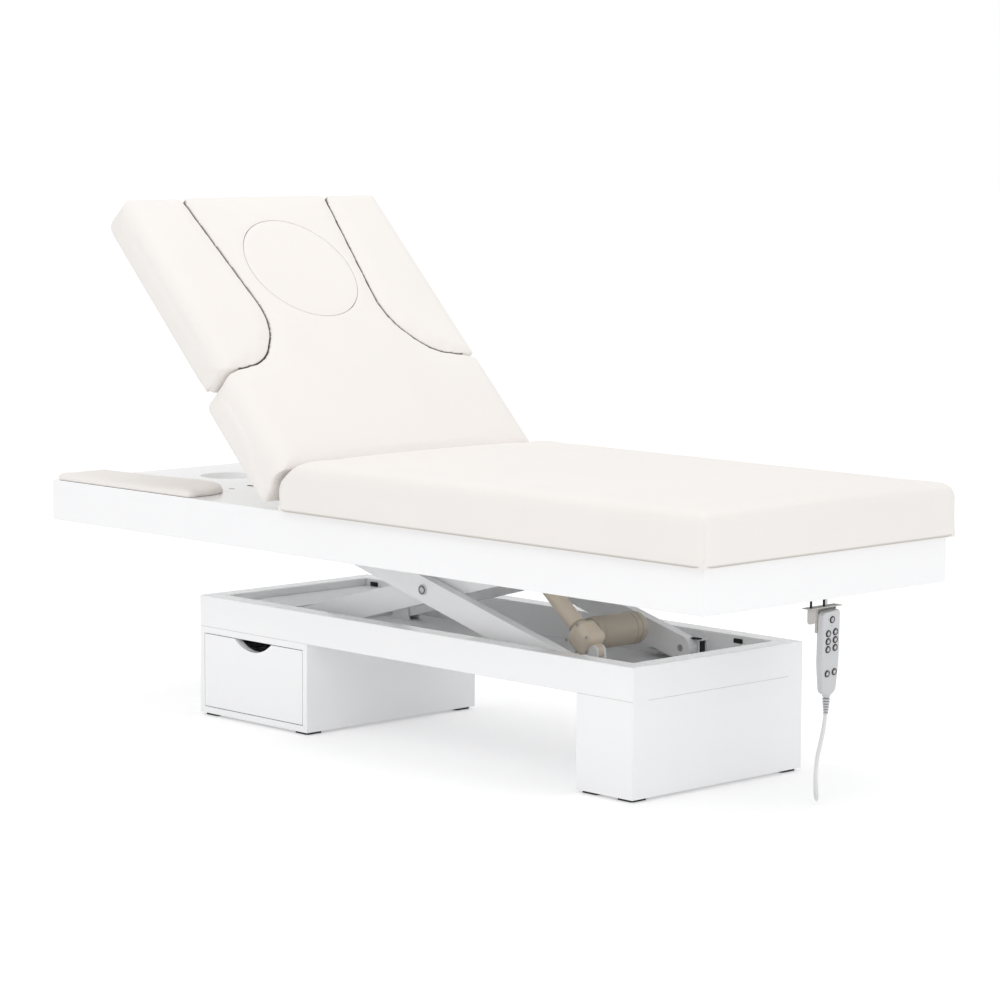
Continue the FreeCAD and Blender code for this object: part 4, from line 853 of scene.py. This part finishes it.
class SPABED_OT_lift_fittings(bpy.types.Operator):
    """Bolt heads of the scissor with a near-black washer round each as painted shadow, the black buffers on
    deck and rails, and near-black strips as painted shadow lines on the roller channels and stops
    """

    bl_idname = "spabed.lift_fittings"
    bl_label = "Lift fittings"

    def execute(self, context):
        bolts_low, bolts_high = low("crossing_bolts"), high("crossing_bolts")
        centre = (bolts_low + bolts_high) / 2
        head = [(0, -0.0006), (0.0028, -0.0006), (0.0032, 0.0006), (0.0052, 0.0014)]
        head += [(0.0068, 0.0008), (0.0074, -0.0006), (0.0074, -0.0028), (0, -0.0028)]
        # Painted shadow: each bolt head gets a near-black washer that stands for the shadow gap round it.
        shadow_washer = [(0.0078, -0.0008), (0.0078, 0.0004), (0.0084, 0.0009)]
        shadow_washer += [(0.0097, 0.0006), (0.0101, -0.0008), (0.0078, -0.0008)]
        for name, profile, kind in (("heads", head, "zinc plate"), ("washers", shadow_washer, "dark steel")):
            form = bmesh.new()
            for sign, face in ((-1, bolts_low.y), (1, bolts_high.y)):
                turned(form, profile, (centre.x, face, centre.z), (0, sign, 0))
            publish(f"crossing_bolt_{name}", form, "inner_arms", kind)
        form = bmesh.new()
        rail_face = abs(low("lower_roller_channels").y)
        rail_top = high("base_side_rails").z
        for x in (-0.568, 0.626):
            clip_low = (x - 0.012, rail_face + 0.0001, rail_top - 0.017)
            twin_blocks(form, clip_low, (x + 0.012, rail_face - 0.0045, rail_top - 0.007), 0.0012, 2)
        publish("rail_clips", form, "base", "black rubber")
        # Painted shadow lines: thin near-black strips along the top of each lower roller channel and down each
        # stop block's face.
        form = bmesh.new()
        channel = high("lower_roller_channels")
        stop_low, stop = low("roller_stop_blocks"), high("roller_stop_blocks")
        twin_blocks(form, (0.476, 0.186, channel.z - 0.0002), (channel.x, 0.2, channel.z + 0.0022), 0.0008, 2)
        stop_face = (stop.x - 0.0002, stop.y - 0.018, stop_low.z + 0.003)
        twin_blocks(form, stop_face, (stop.x + 0.0016, stop.y - 0.002, stop.z - 0.001), 0.0006, 2)
        publish("channel_strips", form, "base", "black rubber")
        for name, x, y, long, kind in (
            ("outer", -0.648, 0.105, 0.011, "black rubber"),
            ("inner", -0.631, 0.178, 0.006, "zinc plate"),
        ):
            form = bmesh.new()
            rest_low = (x - long, y - 0.004, DECK_TOP - 0.0002)
            twin_blocks(form, rest_low, (x + long, y + 0.004, DECK_TOP + 0.0007), 0.0003, 1)
            publish(f"deck_buffers_{name}", form, "top_frame", kind)
        return {"FINISHED"}


def band_profile(radius, inner, outer, foot, top):
    """Profile of a low band round a barrel."""
    low_r, high_r = radius + inner, radius + outer
    return [(low_r, -foot), (high_r, -top), (high_r, top), (low_r, foot), (low_r, -foot)]


class SPABED_OT_drive_fittings(bpy.types.Operator):
    """Seams, caps, screws and gaiters of both linear drives"""

    bl_idname = "spabed.drive_fittings"
    bl_label = "Drive fittings"

    def execute(self, context):
        for name, start, along, half, motor, motor_end, shift, tube_radius, tube_end in (
            ("lift", 0.016, 0.068, 0.031, 0.036, 0.122, 0.008, 0.019, 0.2363),
            ("back", 0.016, 0.062, 0.024, 0.025, 0.112, 0.0, 0.015, 0.2627),
        ):
            pivot = Vector(JOINTS[f"{name}_actuator_swing"]["pos_m"])
            run = Vector(JOINTS[f"{name}_rod_extend"]["axis"]).normalized()
            body = f"{name}_actuator"
            centre = pivot + run * ((start + along) / 2 + shift)
            form = bmesh.new()
            cap = [(0.0, 0.0012), (motor * 0.35, 0.0012), (motor * 0.4, 0.0004)]
            cap += [(motor * 0.6, 0.0004), (motor * 0.6, -0.001), (0.0, -0.001)]
            turned(form, cap, (centre.x, motor_end, centre.z), ACROSS)
            for depth in (0.018, 0.034, motor_end - pivot.y - half - 0.004):
                band = band_profile(motor, -0.001, 0.0008, 0.0016, 0.0012)
                turned(form, band, (centre.x, motor_end - depth, centre.z), ACROSS, 64)
            for place in (along + 0.001, tube_end - 0.006):
                band = band_profile(tube_radius, -0.0008, 0.0022, 0.005, 0.004)
                turned(form, band, pivot + run * (place + 0.005), run)
            publish(f"{name}_drive_bands", form, body, "beige moulding")
            if name == "lift":
                self.lift_housing(pivot, run, start, along, half, motor, motor_end, body)
            form = bmesh.new()
            normal = run.cross(ACROSS).normalized()
            screw = [(0.0, 0.001), (0.0028, 0.001), (0.0034, 0.0002), (0.0034, -0.001), (0.0, -0.001)]
            for u in (start + 0.007, along - 0.007):
                for v in (-half + 0.007, half - 0.007):
                    turned(form, screw, pivot + run * u + normal * v - ACROSS * half, -ACROSS, 20)
            publish(f"{name}_drive_screws", form, body, "zinc plate")
        return {"FINISHED"}

    def lift_housing(self, pivot, run, start, along, half, motor, motor_end, body):
        """Smooth gear housing with its eye, and the motor barrel."""
        normal = run.cross(ACROSS).normalized()
        set_up = Matrix((run, ACROSS, -normal)).transposed().to_4x4()
        set_up.translation = pivot
        form = bmesh.new()
        block(form, (start - 0.004, -half, -half), (along + 0.004, half, half), 0.017, 6)
        block(form, (0.004, -0.0085, -0.0125), (start + 0.02, 0.0085, 0.0125), 0.003, 3)
        bmesh.ops.transform(form, matrix=set_up, verts=form.verts[:])
        eye = [(0.0064, -0.0085), (0.0136, -0.0085), (0.0142, -0.007), (0.0142, 0.007)]
        turned(form, eye + [(0.0136, 0.0085), (0.0064, 0.0085), (0.0064, -0.0085)], pivot, ACROSS, 40)
        housing = publish("lift_gear_housing", form, body, "pale beige tube", 40)
        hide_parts("lift_motor")
        form = bmesh.new()
        centre = pivot + run * ((start + along) / 2 + 0.008)
        near_end = pivot.y + half - 0.012
        deep = motor_end - near_end
        barrel = [(0, 0), (motor * 0.94, 0), (motor, 0.006), (motor, deep - 0.007)]
        barrel += [(motor * 0.94, deep - 0.002), (motor * 0.85, deep), (0, deep)]
        turned(form, barrel, (centre.x, near_end, centre.z), ACROSS, 64)
        # The barrel takes the darker beige, painted shade under the bed.
        publish("lift_motor_barrel", form, body, "beige moulding", 40)


# Handset


HANDSET_PLACE = (1.047, 0.015, 0.409)
HANDSET_THICKNESS = 0.019
HANDSET_LENGTH = 0.181


def handset_lean():
    """The way the handset hangs, about the top of its clip."""
    pivot = Vector(HANDSET_PLACE)
    turn = Matrix.Rotation(math.radians(6.0), 4, "Y") @ Matrix.Rotation(math.radians(5.5), 4, "X")
    return Matrix.Translation(pivot) @ turn @ Matrix.Translation(-pivot)


BUTTON_PLACES = [(0.0, 0.018)]
for drop in (0.046, 0.063, 0.080, 0.132):
    BUTTON_PLACES += [(-0.0109, drop), (0.0109, drop)]


class SPABED_OT_handset(bpy.types.Operator):
    """Handset shell with its parting line, key rings, symbols and ribbed strain relief"""

    bl_idname = "spabed.handset"
    bl_label = "Handset"

    def execute(self, context):
        back, mid_y, top = HANDSET_PLACE
        front = back + HANDSET_THICKNESS
        corners = [(-0.0265, 0.0), (-0.0265, -0.112), (-0.019, -HANDSET_LENGTH)]
        corners += [(-x, z) for x, z in reversed(corners)]
        form = plan_block(corners, [0.009, 0.09, 0.017, 0.017, 0.09, 0.009], 0.0, HANDSET_THICKNESS, 12)
        for z in (0.0, HANDSET_THICKNESS):
            bevel(form, rim(form, z), 0.0042, 5)
        turn = Matrix(((0, 0, 1, back), (1, 0, 0, mid_y), (0, 1, 0, top), (0, 0, 0, 1)))
        bmesh.ops.transform(form, matrix=turn, verts=form.verts[:])
        self.parting_line(form, Vector((back + 0.0085, mid_y, top - 0.09)))
        radius = sizes().button_radius
        wells, well = bmesh.new(), radius + 0.00025
        places = [Vector((front, mid_y + offset, top - drop)) for offset, drop in BUTTON_PLACES]
        for place in places:
            turned(wells, [(0.0, -0.0081), (well, -0.0081), (well, 0.004), (0.0, 0.004)], place, OUTWARDS, 40)
        mesh = cut_mesh(to_mesh("handset_moulding", form), wells, "DIFFERENCE")
        mesh.transform(handset_lean())
        plastic = "light grey moulding"
        shell = publish_mesh("handset_moulding", mesh, "handset", plastic, 32)
        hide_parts("handset_shell")
        ring = [(radius * 0.74, -0.0004), (radius * 0.78, 0.0003), (radius * 0.95, 0.0003)]
        ring += [(radius + 0.0001, -0.0003), (radius + 0.0001, -0.0014), (radius * 0.74, -0.0014), ring[0]]
        for number, place in enumerate(places, 1):
            form = bmesh.new()
            top_of_key = place + OUTWARDS * 0.0016
            turned(form, ring, top_of_key, OUTWARDS, 36)
            key = f"button_{number}"
            self.hang(f"key_ring_{number}", form, key, "black rubber", "button_dark")
            form = bmesh.new()
            symbol(form, number, top_of_key, radius)
            self.hang(f"key_symbol_{number}", form, key, "pale print", "handset_grey", None, False)
        form = bmesh.new()
        lamp = [(0.0, 0.0006), (0.0007, 0.0005), (0.0010, 0.0), (0.0010, -0.0006), (0.0, -0.0006)]
        for offset, drop in ((-0.0115, 0.0165), (0.0, 0.0315)):
            turned(form, lamp, (front, mid_y + offset, top - drop), OUTWARDS, 16)
        self.hang("signal_lamps", form, "handset", "grey key", "button_dark", None)
        form = bmesh.new()
        profile = [(0.0, 0.0), (0.0085, 0.0), (0.0085, 0.005)]
        place, count, end = 0.007, 6, 0.043
        pitch = (end - place) / count
        for i in range(count):
            r = 0.0082 - 0.0032 * (i / count)
            profile += [(r * 0.55, place + pitch * (i + 0.02)), (r * 0.55, place + pitch * (i + 0.42))]
            profile += [(r, place + pitch * (i + 0.5)), (r - 0.0002, place + pitch * (i + 0.95))]
        middle, lower_end = (front + back) / 2, top - HANDSET_LENGTH + 0.001
        turned(form, profile + [(0.0036, end), (0.0, end)], (middle, mid_y, lower_end), DOWN, 32)
        relief = self.hang("strain_relief_ribs", form, "handset", plastic, "relief_rubber", 25)
        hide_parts("handset_strain_relief")
        form = bmesh.new()
        sleeve = [(0.0, 0.002), (0.0062, 0.002), (0.0034, 0.041), (0.0, 0.041)]
        turned(form, sleeve, (middle, mid_y, lower_end), DOWN, 32)
        self.hang("strain_relief_core", form, "handset", "grey key", "relief_rubber")
        return {"FINISHED"}

    def parting_line(self, form, centre):
        """Shallow groove round the shell where its halves meet."""
        for shift, depth in ((-0.0006, 0.0), (0.0, 0.0007), (0.0006, 0.0)):
            plane = (centre.x + shift, 0, 0)
            cut = bmesh.ops.bisect_plane(form, geom=everything(form), plane_co=plane, plane_no=OUTWARDS)
            for v in of_kind(cut["geom_cut"], bmesh.types.BMVert):
                v.co += Vector((0, centre.y - v.co.y, centre.z - v.co.z)).normalized() * depth

    def hang(self, name, form, body, kind, slot, angle=35.0, smooth=True):
        """Publishes a piece modelled upright, turned the way the handset hangs."""
        bmesh.ops.transform(form, matrix=handset_lean(), verts=form.verts[:])
        return publish(name, form, body, kind, angle, smooth)


def symbol(form, number, centre, radius):
    """Plain arrow, or a ring on the first key, a fifth of a millimetre proud."""
    height = 0.0002
    if number == 1:
        circle = bmesh.ops.create_circle
        loops = [circle(form, segments=24, radius=radius * share)["verts"] for share in (0.32, 0.5)]
        bmesh.ops.bridge_loops(form, edges=list({e for loop in loops for v in loop for e in v.link_edges}))
        made, spin = loops[0] + loops[1], 0.0
    else:
        made = bmesh.ops.create_circle(form, segments=3, radius=radius * 0.52, cap_ends=True)["verts"]
        spin = math.pi / 2 + (math.pi if number % 2 else 0.0)
    bmesh.ops.rotate(form, verts=made, cent=(0, 0, 0), matrix=Matrix.Rotation(math.pi / 2, 3, "Y"))
    bmesh.ops.rotate(form, verts=made, cent=(0, 0, 0), matrix=Matrix.Rotation(spin, 3, "X"))
    bmesh.ops.translate(form, verts=made, vec=centre + OUTWARDS * height)
    bmesh.ops.solidify(form, geom=form.faces[:], thickness=height)


CABLE_ROUTE = [
    (1.03314, 0.03647, 0.18626),
    (1.03106, 0.03839, 0.16646),
    (1.0338, 0.0256, 0.1316),
    (1.038, 0.0065, 0.0959),
    (1.0488, -0.0091, 0.059),
    (1.0485, -0.003, 0.022),
    (1.0275, 0.0175, 0.0055),
    (1.0015, 0.0425, 0.014),
    (0.9895, 0.0555, 0.048),
    (0.99, 0.06, 0.08983),
    (0.994, 0.07, 0.12996),
    (0.995, 0.081, 0.18194),
    (0.99, 0.09, 0.2581),
    (0.984, 0.094, 0.34018),
    (0.979, 0.095, 0.418),
    (0.979, 0.095, 0.456),
]


class SPABED_OT_handset_cable(bpy.types.Operator):
    """White cable from the handset down to the floor and up to the control box"""

    bl_idname = "spabed.handset_cable"
    bl_label = "Handset cable"

    def execute(self, context):
        s = sizes()
        curve = bpy.data.curves.new("handset_lead", "CURVE")
        curve.dimensions = "3D"
        curve.bevel_depth = s.cable_diameter / 2
        curve.bevel_resolution = 6
        curve.resolution_u = 16
        curve.use_fill_caps = True
        line = curve.splines.new("NURBS")
        line.points.add(len(CABLE_ROUTE) - 1)
        for point, place in zip(line.points, CABLE_ROUTE):
            point.co = (*place, 1.0)
        line.order_u = 3
        line.use_endpoint_u = True
        curve.materials.append(finish("white jacket"))
        lead = bpy.data.objects.new("handset_lead", curve)
        context.scene.collection.objects.link(lead)
        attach(lead, "top_frame")
        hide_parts("handset_cable")
        return {"FINISHED"}


class SPABED_OT_cad_finishes(bpy.types.Operator):
    """Materials on the carried-over CAD nodes"""

    bl_idname = "spabed.cad_finishes"
    bl_label = "Finishes of the frame and lift"

    def execute(self, context):
        plan = {
            "gloss white lacquer": "drawer_cabinet foot_cabinet base_side_rails base_end_rails "
            "top_side_boards top_end_boards deck drawer_front",
            "satin white facing": "drawer_box base_head_shelf base_floor",
            LEATHER: "seat_board",
            "pale lining": "backrest_board wing_plate_near wing_plate_far",
            "white powder coat": "lower_roller_channels roller_stop_blocks lower_pivot_brackets "
            "upper_roller_channels upper_pivot_brackets inner_arms outer_arms lift_actuator_bracket "
            "back_actuator_bracket backrest_hinge_brackets backrest_hinge_leaves backrest_lever",
            "zinc plate": "inner_arm_pins outer_arm_pins crossing_bolts drawer_runners",
            "bright rod": "lift_rod back_rod",
            "beige moulding": "lift_motor back_actuator",
            "pale beige tube": "lift_tube",
            "dark nylon": "lower_rollers upper_rollers",
            "black rubber": "foot_pads hook_screws",
            "black moulding": "control_box",
            "grey hook paint": "handset_hook",
            "grey key": " ".join(f"button_{i}" for i in range(1, 10)),
        }
        for kind, names in plan.items():
            for name in names.split():
                node = NODES[name]
                if not node.material_slots:
                    node.data.materials.append(finish(kind))
                for material_slot in node.material_slots:
                    material_slot.material = finish(kind)
        return {"FINISHED"}


WHITE = (1, 1, 1, 1)


class SPABED_OT_stage(bpy.types.Operator):
    """White floor, soft studio light and the camera"""

    bl_idname = "spabed.stage"
    bl_label = "Stage"

    def execute(self, context):
        scene = context.scene
        scene.view_settings.view_transform = "Standard"
        self.floor(scene)
        self.studio(scene)
        self.lamp("key", (1.2, -3.2, 3.6), (0.1, 0.0, 0.45), 2.6, 16.0)
        self.lamp("foot fill", (3.6, -0.4, 0.35), (1.0, 0.0, 0.15), 1.6, 8.0)
        self.lamp("near fill", (-0.6, -3.6, 0.4), (-0.5, -0.35, 0.15), 1.6, 4.5)
        self.lamp("top", (-0.2, 0.4, 4.2), (0.0, 0.0, 0.5), 3.4, 27.0)
        self.camera(scene)
        return {"FINISHED"}

    def floor(self, scene):
        """Pale floor that glows a little and keeps the bed's shadow."""
        form = bmesh.new()
        bmesh.ops.create_grid(form, x_segments=1, y_segments=1, size=40.0)
        mesh = to_mesh("floor", form)
        floor = bpy.data.objects.new("floor", mesh)
        scene.collection.objects.link(floor)
        floor.location.z = -0.0005
        material = bpy.data.materials.new("pale floor")
        material.use_nodes = True
        tree = material.node_tree
        surface = tree.nodes["Principled BSDF"]
        surface.inputs["Base Color"].default_value = (0.86, 0.86, 0.865, 1)
        surface.inputs["Roughness"].default_value = 0.9
        surface.inputs["Specular IOR Level"].default_value = 0.1
        glow = add_node(tree, "Emission", Color=WHITE)
        seen = add_node(tree, "Math", "MULTIPLY_ADD")
        seen.inputs[1].default_value = 0.17
        seen.inputs[2].default_value = 0.11
        both = add_node(tree, "AddShader")
        join(tree, add_node(tree, "LightPath"), "Is Camera Ray", seen, 0)
        join(tree, seen, "Value", glow, "Strength")
        join(tree, surface, "BSDF", both, 0)
        join(tree, glow, "Emission", both, 1)
        join(tree, both, "Shader", tree.nodes["Material Output"], "Surface")
        mesh.materials.append(material)

    def studio(self, scene):
        """Soft white world, full white where the camera sees it."""
        scene.world = bpy.data.worlds.new("studio")
        scene.world.use_nodes = True
        tree = scene.world.node_tree
        ground = tree.nodes["Background"]
        ground.inputs["Color"].default_value = WHITE
        ground.inputs["Strength"].default_value = 0.88
        bright = add_node(tree, "Background", Color=WHITE, Strength=1.0)
        path = add_node(tree, "LightPath")
        mix = add_node(tree, "MixShader")
        seen = add_node(tree, "Math", "MAXIMUM")
        join(tree, path, "Is Camera Ray", seen, 0)
        join(tree, path, "Is Transmission Ray", seen, 1)
        join(tree, seen, "Value", mix, "Fac")
        join(tree, ground, "Background", mix, 1)
        join(tree, bright, "Background", mix, 2)
        join(tree, mix, "Shader", tree.nodes["World Output"], "Surface")

    def lamp(self, name, place, target, size, power):
        """Soft square lamp aimed at a point."""
        light = bpy.data.lights.new(name, "AREA")
        light.shape = "SQUARE"
        light.size = size
        light.energy = power
        lamp = bpy.data.objects.new(name, light)
        bpy.context.scene.collection.objects.link(lamp)
        lamp.location = place
        lamp.rotation_euler = (Vector(target) - Vector(place)).to_track_quat("-Z", "Y").to_euler()

    def camera(self, scene):
        """Camera at the photograph's viewing angle."""
        data = bpy.data.cameras.new("camera")
        data.sensor_width = 36.0
        data.lens = 122.57
        data.clip_end = 200.0
        camera = bpy.data.objects.new("camera", data)
        scene.collection.objects.link(camera)
        azimuth, elevation, roll = math.radians(46.211), math.radians(6.658), math.radians(0.223)
        level = math.cos(elevation)
        ahead = Vector((-math.sin(azimuth) * level, math.cos(azimuth) * level, -math.sin(elevation)))
        right = Vector((math.cos(azimuth), math.sin(azimuth), 0))
        up = right.cross(ahead)
        across = math.cos(roll) * right + math.sin(roll) * up
        above = -math.sin(roll) * right + math.cos(roll) * up
        place = Matrix((across, above, -ahead)).transposed().to_4x4()
        place.translation = Vector((5.5678, -5.2435, 1.4372))
        camera.matrix_world = place
        scene.camera = camera


CLASSES = (
    SpaBedSizes,
    SpaBedColours,
    SPABED_OT_seat_cushion,
    SPABED_OT_backrest_cushion,
    SPABED_OT_wing_cushions,
    SPABED_OT_arm_pads,
    SPABED_OT_lift_fittings,
    SPABED_OT_drive_fittings,
    SPABED_OT_handset,
    SPABED_OT_handset_cable,
    SPABED_OT_cad_finishes,
    SPABED_OT_stage,
)
STEPS = [c for c in CLASSES if issubclass(c, bpy.types.Operator)]


class SPABED_PT_panel(bpy.types.Panel):
    """The bed's settings and pieces"""

    bl_idname = "SPABED_PT_panel"
    bl_label = "Spa bed"
    bl_space_type = "VIEW_3D"
    bl_region_type = "UI"
    bl_category = "Spa bed"

    def draw(self, context):
        for group in (context.scene.spa_bed_sizes, context.scene.spa_bed_colours):
            for name in group.bl_rna.properties.keys():
                if name not in ("rna_type", "name"):
                    self.layout.prop(group, name)
        for step in STEPS:
            self.layout.operator(step.bl_idname)


def register():
    """Adds the classes and settings to Blender."""
    for item in CLASSES + (SPABED_PT_panel,):
        bpy.utils.register_class(item)
    bpy.types.Scene.spa_bed_sizes = bpy.props.PointerProperty(type=SpaBedSizes)
    bpy.types.Scene.spa_bed_colours = bpy.props.PointerProperty(type=SpaBedColours)


def unregister():
    """Takes the classes and settings out again."""
    del bpy.types.Scene.spa_bed_colours
    del bpy.types.Scene.spa_bed_sizes
    for item in reversed(CLASSES + (SPABED_PT_panel,)):
        bpy.utils.unregister_class(item)


def main():
    """Builds every piece in order."""
    register()
    for step in STEPS:
        group, name = step.bl_idname.split(".")
        getattr(getattr(bpy.ops, group), name)()


if __name__ == "__main__":
    main()
